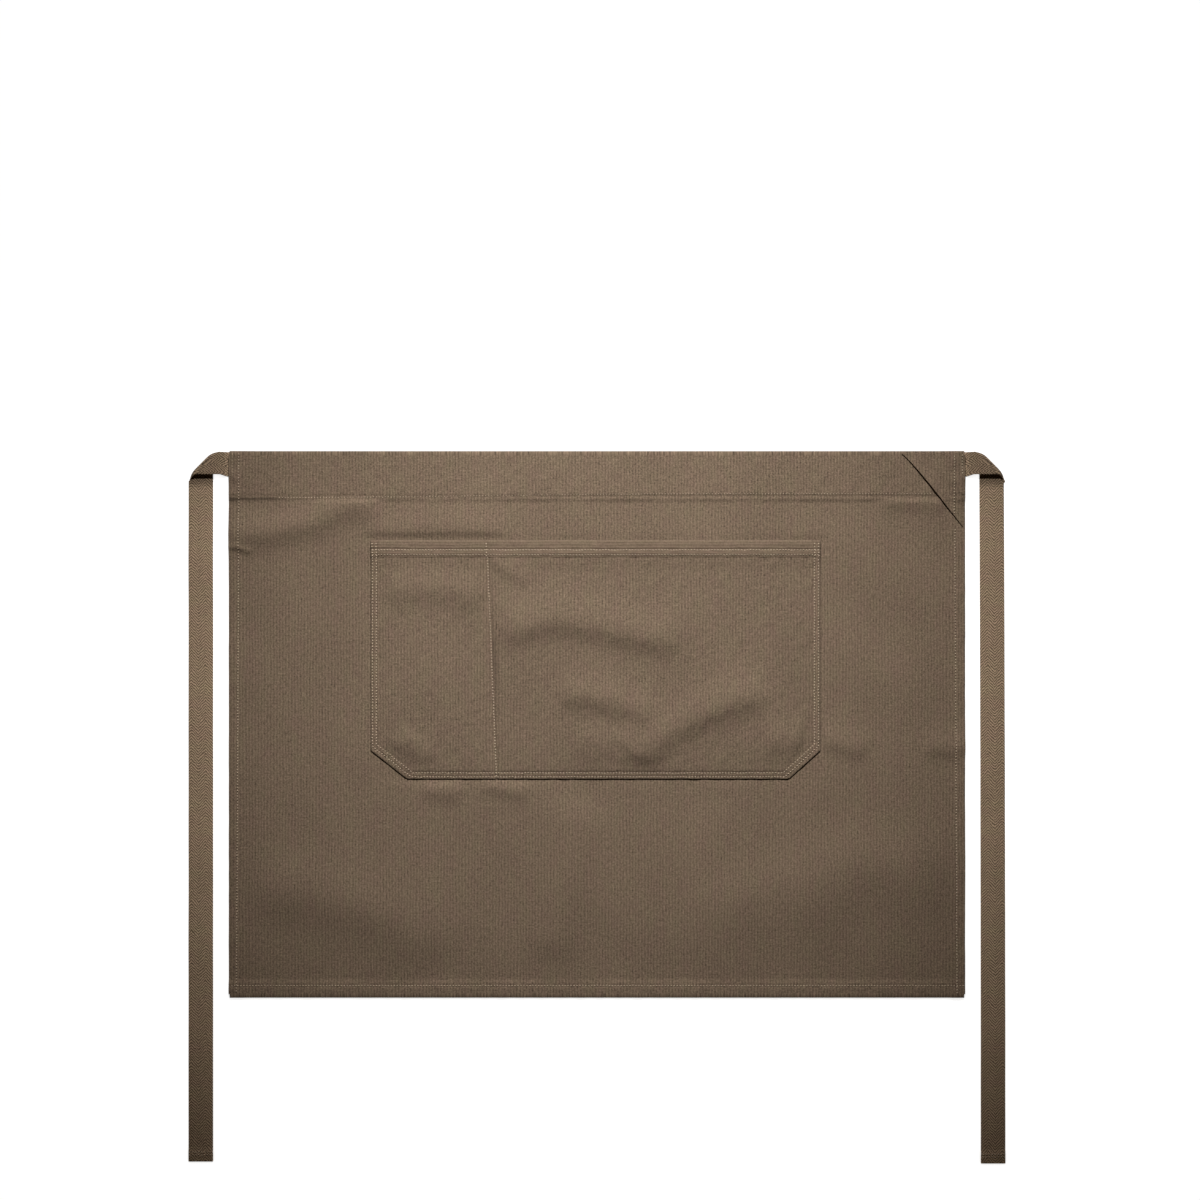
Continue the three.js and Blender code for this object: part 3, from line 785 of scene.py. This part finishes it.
def tie_surface(sign, offset):
    """A tie at a distance from the middle of its tape. Each section has its two edge points;
    it runs out along the waist, turns under itself round a 45 degree crease, slipping along
    it, hangs down and turns under at its end. Gives the points, flat places and painted shade."""
    end = RIGHT_TIE_LOW.y if sign > 0 else LEFT_TIE_LOW.y
    edge = TOP - TIE_INSET
    low = edge - TIE_WIDTH
    outer = RIGHT_TIE_HIGH.x
    inner = outer - TIE_WIDTH
    upper = FLOOR_PLY + PLY + FOLD_STAND
    crease_set = (WALL / 2 + (upper - FLOOR_PLY) / 2) * math.sqrt(2)
    crease = inner - FOLD_SLIP - crease_set + PLY
    start = HALF_WIDTH - TIE_TUCK
    past = HALF_WIDTH + CREASE_GAP
    last = crease - CREASE_GAP

    run = stations([start, past, last], [CELL, TIE_CELL])
    rise = mix(FLOOR_PLY, upper, smooth((run - past) / (crease - HALF_WIDTH)))
    fan = np.linspace(0, 1, FAN_STEPS + 1)[1:-1]
    turns = np.linspace(0, math.pi, CREASE_STEPS + 1)
    slip = (inner - crease) * turns / math.pi
    hang_top = low - slip[-1] - FAN_SPARE
    hem_flat = end + WALL / 2 + PLY / 2
    hang = stations([hang_top, hang_top - TIE_FINE, end + TIE_FINE, hem_flat],
                    [POCKET_CELL, CELL, FINE_CELL])
    end_turns = np.linspace(0, math.pi, FAN_STEPS + 1)[1:]
    flap = stations([hem_flat, end + TIE_END_HEM], [FLAP_CELL])[1:]

    # Each stretch: X and Y of a section's two ends, its turn, its height on the run along the
    # waist, and whether it hangs, goes round the crease or belongs to the turned end
    stretches = (
        (run, edge, run, low, 0, rise, 0, 0, 0),
        (mix(last, crease, fan), edge, mix(last, crease + TIE_WIDTH, fan), low, 0, upper, 0, 0, 0),
        (crease + slip, edge - slip, crease + TIE_WIDTH + slip, low - slip, turns, upper, 0, 1, 0),
        (inner, mix(edge - slip[-1], hang_top, fan), outer, mix(low - slip[-1], hang_top, fan),
         0, 0, 1, 0, 0),
        (inner, hang, outer, hang, 0, 0, 1, 0, 0),
        (inner, hem_flat, outer, hem_flat, end_turns, 0, 1, 0, 1),
        (inner, flap, outer, flap, math.pi, 0, 1, 0, 1),
    )
    sections = np.concatenate([joined(*stretch) for stretch in stretches])
    in_x, in_y, out_x, out_y, turn, rises, hanging, creasing, ending = sections.T[..., None]

    fine = np.array(TIE_RIM)
    side = np.concatenate([fine, np.linspace(TIE_SELVEDGE, TIE_WIDTH - TIE_SELVEDGE, TIE_COLUMNS),
                           TIE_WIDTH - fine[::-1]]) / TIE_WIDTH
    x = mix(in_x, out_x, side)
    y = mix(in_y, out_y, side)
    half = offset * round_edge(np.minimum(side, 1 - side) * TIE_WIDTH)
    lying = tie_level(sign, x, y)
    sprung = (rises - FLOOR_PLY) / (upper - FLOOR_PLY) * (1 - hanging)
    y = y + TIE_NARROW * side * sprung
    front = np.where(hanging > 0, lying, rises + TIE_TILT * (1 - side) * sprung)
    under = np.where(creasing > 0, tie_level(sign, x, y), front)
    under = np.where(ending > 0, FLOOR_PLY, under)
    reach, height = turned(front, under, turn, half * np.where(hanging > 0, -1, 1))
    shoulder = SHOULDER * (2 * side - 1) ** SHOULDER_POWER * np.sin(turn) * creasing
    bulge = creasing * math.sqrt(0.5) * (reach - shoulder)
    points = joined(sign * (x + bulge - hanging * tie_lean(sign, y)),
                    y + bulge - ending * reach, height)
    length = np.where(hanging + creasing > 0, crease - start + edge - y, x - start)
    # Painted shade: a painted shadow of the fold on the hanging run, a dark painted rim round the
    # crease, and darker paint where the run springs up and faces away from the light
    under_fold = hanging * settle(hang_top + TIE_SHADE_REACH - y, 0, TIE_SHADE_RUN)
    rim = CREASE_SHADE * creasing * np.sin(turn) ** 4
    shaded = np.clip(under_fold + rim + SPRUNG_SHADE * sprung, 0, 1)
    surface = (points, joined(length, side * TIE_WIDTH), shaded)
    return [grid[:, ::-1] for grid in surface] if sign < 0 else surface


def thread_shape():
    """One stitch as rings along it: a tube whose radius is the thread's times the root of one
    less the fourth power of the share along, bowed up in the middle. The two end rings are
    closed by flat caps."""
    along = np.array(THREAD_RINGS)[:, None]
    radius = THREAD * np.sqrt(1 - np.clip(np.abs(along), 0, THREAD_TIP) ** 4)
    angle = np.linspace(0, 2 * math.pi, SPOKES, endpoint=False)
    rise = THREAD_BOW * THREAD * (1 - along**2)
    points = joined(along * STITCH_LENGTH / 2, radius * np.cos(angle),
                    radius * np.sin(angle) + rise).reshape(-1, 3)
    last = len(points) - SPOKES
    here = np.arange(last)
    beside = here - here % SPOKES + (here + 1) % SPOKES
    sides = joined(beside, beside + SPOKES, here + SPOKES, here)
    cap = np.array([[0, 1, 2, 3], [0, 3, 4, 5]])
    return points, np.concatenate([sides, cap[:, ::-1], cap + last])


def stitches(route, level):
    """A row of stitches: copies of one thread shape at even steps along a route, each turned
    along it and laid on the cloth's level."""
    route = np.array(route)
    runs = np.diff(route, axis=0)
    lengths = np.hypot(*runs.T)
    reached = np.concatenate([[0], np.cumsum(lengths)])
    at = np.arange(STITCH_PITCH / 2, reached[-1], STITCH_PITCH)
    leg = np.clip(np.searchsorted(reached, at) - 1, 0, len(runs) - 1)
    heading_x, heading_y = (runs[leg] / lengths[leg, None]).T[..., None]
    draw = np.random.default_rng(len(at))
    sway = draw.normal(0, THREAD_SWAY, len(at))[:, None]
    middle_x, middle_y = (np.interp(at, reached, axis)[:, None] for axis in route.T)
    shape, faces = thread_shape()
    along, beside, up = shape.T
    beside = beside + sway
    x = middle_x + heading_x * along - heading_y * beside
    y = middle_y + heading_y * along + heading_x * beside
    points = joined(x, y, level(x, y) + WALL / 2 + up)
    step = np.arange(len(at))[:, None, None] * len(shape)
    return points.reshape(-1, 3), (faces[None] + step).reshape(-1, 4)


def stitch_object(name, rows):
    """All rows of stitches of one piece as one mesh. A row is a route and the level of the
    cloth that it lies on."""
    points = []
    faces = []
    count = 0
    for row in rows:
        row_points, row_faces = stitches(*row)
        points.append(row_points)
        faces.append(row_faces + count)
        count += len(row_points)
    return mesh_object(name, np.concatenate(points), np.concatenate(faces))


def sunk_level(x, y):
    """The panel's level, lowered so that a stitch lies half buried in its seam."""
    return panel_level(x, y) - THREAD_SUNK * THREAD


def panel_rows():
    """The panel's seams: waistband, side hems, bottom hem and the left tie's end."""
    left, right = -HALF_WIDTH, HALF_WIDTH
    waist = TOP - ROW_END
    low = BOTTOM + HEM_ROW_END
    hem = BOTTOM + BOTTOM_HEM
    x = np.linspace(left + WAIST_ROW_START, right - WAIST_ROW_END, WAIST_ROW_POINTS)
    tie = left + TIE_ROW
    return (
        (joined(x, TOP - waist_seam(x)), sunk_level),
        ([(left + SIDE_ROW_TOP, waist), (left + LEFT_ROW_LOW, low)], panel_level),
        ([(right - SIDE_ROW_TOP, TAB_LOW.y - ROW_END), (right - RIGHT_ROW_LOW, low)], panel_level),
        ([(left + ROW_END, hem), (right - ROW_END, hem)], panel_level),
        ([(tie, waist), (tie, TOP - TIE_WIDTH - END_GAP)], sunk_level),
    )


def pocket_rows():
    """The pocket's two edge rows, which turn along the cut corners, and its divider."""
    rows = []
    high = POCKET_TOP - BAND_DEPTH
    for seam in POCKET_SEAMS:
        extra = seam + CHAMFER_EXTRA
        route = [(POCKET_LEFT + seam, high)]
        for width, at, sign in ((LEFT_CHAMFER, POCKET_LEFT, 1), (RIGHT_CHAMFER, POCKET_RIGHT, -1)):
            slope = math.hypot(CHAMFER_RISE, width)
            high_y = POCKET_BOTTOM + (CHAMFER_RISE * (width - seam) + extra * slope) / width
            low_x = at + sign * (width * (CHAMFER_RISE - seam) + extra * slope) / CHAMFER_RISE
            corner = [(at + sign * seam, high_y), (low_x, POCKET_BOTTOM + seam)]
            route += corner[::sign]
        rows.append((route + [(POCKET_RIGHT - seam, high)], pocket_level))
    divider = [(POCKET_LEFT + DIVIDER_TOP + END_GAP, high),
               (POCKET_LEFT + DIVIDER_BOTTOM, POCKET_BOTTOM + ROW_END)]
    return rows + [(divider, pocket_level)]


def band_rows():
    """The binding's two long rows and its short rows at the ends and the divider."""
    left, right = POCKET_LEFT + END_GAP, POCKET_RIGHT - END_GAP
    long_rows = [((left, POCKET_TOP - seam), (right, POCKET_TOP - seam)) for seam in BAND_SEAMS]
    places = [POCKET_LEFT + seam for seam in POCKET_SEAMS]
    places += [POCKET_RIGHT - seam for seam in POCKET_SEAMS] + [POCKET_LEFT + DIVIDER_TOP]
    high, low = POCKET_TOP - ROW_END, POCKET_TOP - BAND_DEPTH
    return [(row, band_top) for row in long_rows + [((x, high), (x, low)) for x in places]]


def tab_rows():
    """The tab's rows beside the panel's right hem and at its edge."""
    hem, edge = HALF_WIDTH - TAB_ROWS[0], HALF_WIDTH - TAB_ROWS[1]
    return (
        ([(hem, TAB_HIGH.y - ROW_END), (hem, TAB_LOW.y + TAB_ROW_LOW)], tab_level),
        ([(edge, TAB_HIGH.y - END_GAP), (edge, TOP - TIE_WIDTH)], tab_level),
    )


def tie_rows():
    """Two short rows across each tie's turned end."""
    inner = RIGHT_TIE_HIGH.x - TIE_WIDTH + END_GAP
    outer = RIGHT_TIE_HIGH.x - END_GAP
    rows = []
    for sign, low in ((-1, LEFT_TIE_LOW.y), (1, RIGHT_TIE_LOW.y)):
        level = partial(tie_level, sign)
        rows += [([(sign * inner, low + up), (sign * outer, low + up)], level) for up in TIE_ROWS]
    return rows


class Signal:
    """A value that varies over a surface: one output of a shader node. Arithmetic on it adds
    Math nodes to the same tree."""

    def __init__(self, socket):
        self.socket = socket
        self.tree = socket.id_data

    def math(self, operation, *values):
        """The result of a Math node whose first value is this signal."""
        node = add_node(self.tree, "ShaderNodeMath", operation=operation)
        for socket, value in zip(node.inputs, (self, *values)):
            feed(socket, value)
        return Signal(node.outputs[0])

    def __add__(self, other):
        return self.math("ADD", other)

    def __sub__(self, other):
        return self.math("SUBTRACT", other)

    def __mul__(self, other):
        return self.math("MULTIPLY", other)

    def __truediv__(self, other):
        return self.math("DIVIDE", other)


def feed(socket, value):
    """Links an input to a signal, or sets its value."""
    if isinstance(value, Signal):
        value.tree.links.new(value.socket, socket)
    else:
        socket.default_value = value


def add_node(tree, kind, inputs=None, **settings):
    """A shader node with its settings, and with its inputs fed by their names."""
    node = tree.nodes.new(kind)
    for name, value in settings.items():
        setattr(node, name, value)
    for name, value in (inputs or {}).items():
        feed(node.inputs[name], value)
    return node


def blend(base, *terms):
    """A number plus each signal times its weight."""
    for signal, weight in terms:
        base = signal.math("MULTIPLY_ADD", weight, base)
    return base


def axes(place):
    """The X and the Y of a place."""
    parts = add_node(place.tree, "ShaderNodeSeparateXYZ", {"Vector": place})
    return Signal(parts.outputs["X"]), Signal(parts.outputs["Y"])


def noise(place, scale, detail=2.0, roughness=0.5):
    """A noise between 0 and 1 whose middle is 0.5. The scale is its cells per metre along each
    axis."""
    stretch = add_node(place.tree, "ShaderNodeVectorMath", operation="MULTIPLY")
    feed(stretch.inputs[0], place)
    feed(stretch.inputs[1], scale)
    cells = {"Vector": Signal(stretch.outputs[0]), "Scale": 1.0, "Detail": detail,
             "Roughness": roughness}
    return Signal(add_node(place.tree, "ShaderNodeTexNoise", cells).outputs["Fac"])


def wave(value):
    """Half of one plus the sine of whole turns of the value."""
    return (value * (2 * math.pi)).math("SINE").math("MULTIPLY_ADD", 0.5, 0.5)


def rib_weave(place, pitch, wander):
    """Ribbed weave: ribs along Y of wandering pitch, uneven streaks along them, a fine cross
    thread and grain. Height is the relief and Shade the brightness, which swings round 0.5."""
    x, y = axes(place)
    drift = (noise(place, RIB_DRIFT) - 0.5) * (wander * 2.0)
    ribs = wave(x / pitch + drift)
    streaks = noise(place, RIB_STREAKS)
    weft = wave(blend(ribs * 0.5, (y, WEFT_RATE)))
    grain = noise(place, RIB_GRAIN, 1.0, 0.7)
    return {
        "Height": blend(0.0, (weft, 0.15), (grain, 0.5), (streaks, 0.3), (ribs, 0.45)),
        "Shade": blend(-0.995, (grain, 2.0), (streaks, 0.65), (ribs, 0.34)),
    }


def herringbone(place, pitch, column):
    """Herringbone tape: diagonal dashes whose slant flips at every column. X runs along the
    tape and Y across it. Height is the relief, between 0 and 1, and Shade the brightness,
    which swings round 0.5."""
    x, y = axes(place)
    zigzag = (y - SELVEDGE_SHIFT).math("PINGPONG", column)
    slanted = x + zigzag * TAPE_SLANT
    dashes = wave(slanted / pitch + noise(place, TAPE_WANDER) * TAPE_STRAY)
    warp = wave(y * WARP_RATE)
    grain = noise(place, TAPE_GRAIN, 1.0)
    return {
        "Height": blend(0.0, (warp, 0.3), (dashes, 0.7)),
        "Shade": blend(-0.955, (grain, 1.2), (warp, 0.3), (dashes, 1.4)),
    }


def heather(place):
    """Dye variation: Tone is a soft mottle with specks, for brightness, and Cast a mottle for
    hue, both between 0 and 1."""
    patches = noise(place, DYE_PATCHES, 4.0, 0.6)
    specks = noise(place, DYE_SPECKS)
    return {
        "Tone": blend(0.0, (specks, 0.5), (patches, 0.5)),
        "Cast": noise(place, DYE_CAST, 3.0, 0.6),
    }


# Each pattern's function and the numbers that its group takes beside the place
PATTERNS = {
    "Rib weave": (rib_weave, {"Pitch": RIB_PITCH, "Wander": RIB_WANDER}),
    "Herringbone": (herringbone, {"Pitch": TAPE_PITCH, "Column": TAPE_COLUMN}),
    "Heather": (heather, {}),
}


def pattern_group(name):
    """The shader node group of a pattern, made when it is first asked for."""
    if name in bpy.data.node_groups:
        return bpy.data.node_groups[name]
    pattern, numbers = PATTERNS[name]
    tree = bpy.data.node_groups.new(name, "ShaderNodeTree")
    tree.interface.new_socket(name="Vector", in_out="INPUT", socket_type="NodeSocketVector")
    for label, value in numbers.items():
        socket = tree.interface.new_socket(name=label, in_out="INPUT",
                                           socket_type="NodeSocketFloat")
        socket.default_value = value
    given = add_node(tree, "NodeGroupInput").outputs[:len(numbers) + 1]
    results = pattern(*map(Signal, given))
    for label in results:
        tree.interface.new_socket(name=label, in_out="OUTPUT", socket_type="NodeSocketFloat")
    add_node(tree, "NodeGroupOutput", results)
    return tree


def apply_pattern(name, place, **numbers):
    """The outputs of a pattern's group at a place, by their names."""
    inputs = {"Vector": place, **numbers}
    node = add_node(place.tree, "ShaderNodeGroup", node_tree=pattern_group(name))
    for label, value in inputs.items():
        feed(node.inputs[label], value)
    return {socket.name: Signal(socket) for socket in node.outputs}


def new_material(name):
    """A material, its node tree and its Principled shader."""
    material = bpy.data.materials.new(name)
    material.use_nodes = True
    return material, material.node_tree, material.node_tree.nodes["Principled BSDF"]


def finish_shader(shader, inputs):
    """Feeds a shader's inputs by their names."""
    for name, value in inputs.items():
        feed(shader.inputs[name], value)


def tinted(colour, dye, relief, depth, light=1.0):
    """The base colour. Its value is the painted light, lowered by painted shade in creases,
    times one plus two swings: the relief's shade less a half times a depth, and the dye's tone
    less a half times its own. Its hue is turned by the dye's cast less a half times a third."""
    value = blend(1.0, (relief - 0.5, depth), (dye["Tone"] - 0.5, TONE_SWING))
    node = add_node(relief.tree, "ShaderNodeHueSaturation", {
        "Hue": blend(0.5, (dye["Cast"] - 0.5, HUE_SWING)),
        "Value": value * light,
        "Color": (*colour, 1),
    })
    return Signal(node.outputs["Color"])


def bumped(height, distance):
    """The normal of a relief of that height."""
    node = add_node(height.tree, "ShaderNodeBump", {"Height": height, "Distance": distance})
    return Signal(node.outputs["Normal"])


def woven_material(name, weave, colour, pitch, turn=0.0, depth=WEAVE_DEPTH):
    """A cloth finish: a weave of that pitch and the dye over the piece's flat places, turned
    by an angle, with painted shade darkening the colour where a seam, edge or fold would shade it."""
    material, tree, shader = new_material(name)
    flat = Signal(add_node(tree, "ShaderNodeUVMap", uv_map="Flat").outputs["UV"])
    mapping = add_node(tree, "ShaderNodeMapping", {"Vector": flat, "Rotation": (0, 0, turn)})
    place = Signal(mapping.outputs["Vector"])
    pattern = apply_pattern(weave, place, Pitch=pitch)
    # Painted shade: a point attribute lowers the colour's value where seams, edges and folds would
    # cast shade
    crease = Signal(add_node(tree, "ShaderNodeAttribute", attribute_name="Painted_shade").outputs["Fac"])
    light = blend(1.0, (crease, -PAINTED_CREASE_SHADE))
    dye = apply_pattern("Heather", place)
    finish_shader(shader, {
        "Base Color": tinted(colour, dye, pattern["Shade"], depth, light),
        "Roughness": 0.95,
        "Specular IOR Level": 0.1,
        "Sheen Weight": 0.04,
        "Sheen Roughness": 0.5,
        "Normal": bumped(pattern["Height"], WEAVE_RELIEF),
    })
    return material


def thread_material(name, colour):
    """Twisted sewing thread: the dye over object places, with a fine twist."""
    material, tree, shader = new_material(name)
    place = Signal(add_node(tree, "ShaderNodeTexCoord").outputs["Object"])
    x, y = axes(place)
    twist = wave((x + y) * TWIST_RATE)
    finish_shader(shader, {
        "Base Color": tinted(colour, apply_pattern("Heather", place), twist, TWIST_DEPTH),
        "Roughness": 0.6,
        "Sheen Weight": 0.2,
        "Normal": bumped(twist, TWIST_RELIEF),
    })
    return material


def floor_material(tone, glow):
    """Pale paper that glows, so that it stays white where the light falls off, less so close
    beside the apron, where ambient occlusion dims the glow into a painted contact shadow."""
    material, tree, shader = new_material("Pale floor")
    # Painted contact shadow: ambient occlusion dims the floor's glow close beside the apron
    near = add_node(tree, "ShaderNodeAmbientOcclusion", {"Distance": SHADE_REACH}, samples=8)
    open_glow = SHADE_SHARE * glow
    finish_shader(shader, {
        "Base Color": (tone, tone, tone, 1),
        "Roughness": 1.0,
        "Specular IOR Level": 0.0,
        "Emission Color": (1, 1, 1, 1),
        "Emission Strength": blend(glow - open_glow, (Signal(near.outputs["AO"]), open_glow)),
    })
    return material


def finish_material(name):
    """The named finish, made when it is first asked for."""
    if name in bpy.data.materials:
        return bpy.data.materials[name]
    colours = bpy.context.scene.apron_colours
    if name == "Heathered twill":
        return woven_material(name, "Rib weave", colours.cloth, RIB_PITCH)
    if name == "Turned twill":
        return woven_material(name, "Rib weave", colours.cloth, RIB_PITCH, math.pi / 2,
                              TURNED_DEPTH)
    if name == "Herringbone tape":
        return woven_material(name, "Herringbone", colours.tape, TAPE_PITCH)
    return thread_material(name, colours.thread)


def dress(piece, finish):
    """Gives a piece its finish and the one body that it rides on."""
    piece.data.materials.append(finish_material(finish))
    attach(piece, "root")
    return piece


def record_colour(slot):
    """The record's base colour of a material slot."""
    for material in frame["record"]["materials"]:
        if material["slot"] == slot:
            return tuple(material["base_color"][:3])
    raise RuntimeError(f"the record has no slot {slot}")


class ApronColours(bpy.types.PropertyGroup):
    """Colours of the cloth, the tape and the thread."""

    cloth: FloatVectorProperty(
        name="Cloth", description="Colour of the ribbed cloth", subtype="COLOR",
        default=record_colour("apron_cloth"), min=0, max=1)
    tape: FloatVectorProperty(
        name="Tape", description="Colour of the ties", subtype="COLOR",
        default=(0.325, 0.231, 0.152), min=0, max=1)
    thread: FloatVectorProperty(
        name="Thread", description="Colour of the stitches", subtype="COLOR",
        default=(0.52, 0.4, 0.28), min=0, max=1)


class ApronStage(bpy.types.PropertyGroup):
    """Floor, lights and camera."""

    floor_tone: FloatProperty(
        name="Floor tone", description="How pale the floor is", default=0.5, min=0, max=1)
    floor_glow: FloatProperty(
        name="Floor glow", description="Light that the floor gives off", default=1.0, min=0)
    key_power: FloatProperty(
        name="Key light", description="Power of the light past the waist", default=270,
        subtype="POWER", min=0)
    key_cone: FloatProperty(
        name="Key cone", description="Angle over which the key light fades out",
        default=math.radians(28.8), subtype="ANGLE", min=0.1, max=3)
    sky: FloatProperty(
        name="Sky", description="Even light from all round", default=0.025, min=0)
    camera_height: FloatProperty(
        name="Camera height", description="Height of the camera over the floor",
        default=2.887, unit="LENGTH", min=0.1)


class APRON_OT_panel(bpy.types.Operator):
    """Add the cloth panel and its seams"""

    bl_idname = "apron.panel"
    bl_label = "Panel"

    def execute(self, context):
        panel = dress(cloth_object("panel_cloth", *front_and_back(panel_surface)),
                      "Heathered twill")
        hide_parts("apron_panel")
        seams = dress(stitch_object("panel_stitches", panel_rows()),
                      "Sewing thread")
        return {"FINISHED"}


class APRON_OT_pocket(bpy.types.Operator):
    """Add the pocket and its seams"""

    bl_idname = "apron.pocket"
    bl_label = "Pocket"

    def execute(self, context):
        pocket = dress(cloth_object("pocket_cloth", *pocket_surface()),
                       "Heathered twill")
        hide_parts("pocket")
        seams = dress(stitch_object("pocket_stitches", pocket_rows()),
                      "Sewing thread")
        return {"FINISHED"}


class APRON_OT_band(bpy.types.Operator):
    """Add the binding over the pocket's mouth"""

    bl_idname = "apron.band"
    bl_label = "Pocket band"

    def execute(self, context):
        band = dress(cloth_object("pocket_binding", *front_and_back(band_surface)),
                     "Turned twill")
        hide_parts("pocket_band")
        seams = dress(stitch_object("band_stitches", band_rows()),
                      "Sewing thread")
        return {"FINISHED"}


class APRON_OT_tab(bpy.types.Operator):
    """Add the corner tab"""

    bl_idname = "apron.tab"
    bl_label = "Corner tab"

    def execute(self, context):
        tab = dress(cloth_object("tab_cloth", *tab_surface()), "Heathered twill")
        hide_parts("corner_tab")
        seams = dress(stitch_object("tab_stitches", tab_rows()), "Sewing thread")
        return {"FINISHED"}


class APRON_OT_ties(bpy.types.Operator):
    """Add the two tape ties"""

    bl_idname = "apron.ties"
    bl_label = "Ties"

    def execute(self, context):
        seams = dress(stitch_object("tie_stitches", tie_rows()), "Sewing thread")
        for name, sign, low in (("left_tie", -1, LEFT_TIE_LOW), ("right_tie", 1, RIGHT_TIE_LOW)):
            tie = dress(cloth_object(f"{name}_tape", *front_and_back(tie_surface, sign)),
                        "Herringbone tape")
            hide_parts(name)
        return {"FINISHED"}


class APRON_OT_stage(bpy.types.Operator):
    """Add the pale floor, the lights and the camera"""

    bl_idname = "apron.stage"
    bl_label = "Stage"

    def execute(self, context):
        stage = context.scene.apron_stage
        corners = np.array([(-1, -1, 0), (1, -1, 0), (1, 1, 0), (-1, 1, 0)]) * FLOOR_HALF
        floor = mesh_object("floor", corners - (0, 0, FLOOR_DROP), np.array([[0, 1, 2, 3]]))
        floor.data.materials.append(floor_material(stage.floor_tone, stage.floor_glow))

        key = bpy.data.lights.new("key", "SPOT")
        key.energy = stage.key_power
        key.spot_size = stage.key_cone
        key.spot_blend = 1.0
        key.shadow_soft_size = KEY_RADIUS
        lamp = bpy.data.objects.new("key", key)
        lamp.location = KEY_PLACE
        lamp.rotation_euler = (KEY_AIM - KEY_PLACE).to_track_quat("-Z", "Y").to_euler()
        lamp.scale = (KEY_SPREAD, 1, 1)
        context.scene.collection.objects.link(lamp)

        world = bpy.data.worlds.new("Sky")
        world.use_nodes = True
        finish_shader(world.node_tree.nodes["Background"],
                      {"Color": SKY_COLOUR, "Strength": stage.sky})
        context.scene.world = world

        camera = bpy.data.cameras.new("camera")
        camera.lens = LENS
        camera.sensor_width = SENSOR
        camera.clip_start = NEAREST
        eye = bpy.data.objects.new("camera", camera)
        eye.location = (*CAMERA_PLACE, stage.camera_height)
        context.scene.collection.objects.link(eye)
        context.scene.camera = eye
        context.scene.view_settings.view_transform = "Standard"
        return {"FINISHED"}


class APRON_PT_panel(bpy.types.Panel):
    """Lists the apron's pieces in the sidebar"""

    bl_idname = "APRON_PT_panel"
    bl_label = "Apron"
    bl_space_type = "VIEW_3D"
    bl_region_type = "UI"
    bl_category = "Apron"

    def draw(self, context):
        for operator in OPERATORS:
            self.layout.operator(operator.bl_idname)
        for settings in (context.scene.apron_colours, context.scene.apron_stage):
            for name in settings.__annotations__:
                self.layout.prop(settings, name)


OPERATORS = (APRON_OT_stage, APRON_OT_panel, APRON_OT_pocket, APRON_OT_band, APRON_OT_tab,
             APRON_OT_ties)
CLASSES = (ApronColours, ApronStage, *OPERATORS, APRON_PT_panel)


def register():
    for item in CLASSES:
        bpy.utils.register_class(item)
    bpy.types.Scene.apron_colours = PointerProperty(type=ApronColours)
    bpy.types.Scene.apron_stage = PointerProperty(type=ApronStage)


def unregister():
    del bpy.types.Scene.apron_stage
    del bpy.types.Scene.apron_colours
    for item in reversed(CLASSES):
        bpy.utils.unregister_class(item)


def main():
    register()
    bpy.ops.apron.stage()
    bpy.ops.apron.panel()
    bpy.ops.apron.pocket()
    bpy.ops.apron.band()
    bpy.ops.apron.tab()
    bpy.ops.apron.ties()


if __name__ == "__main__":
    main()
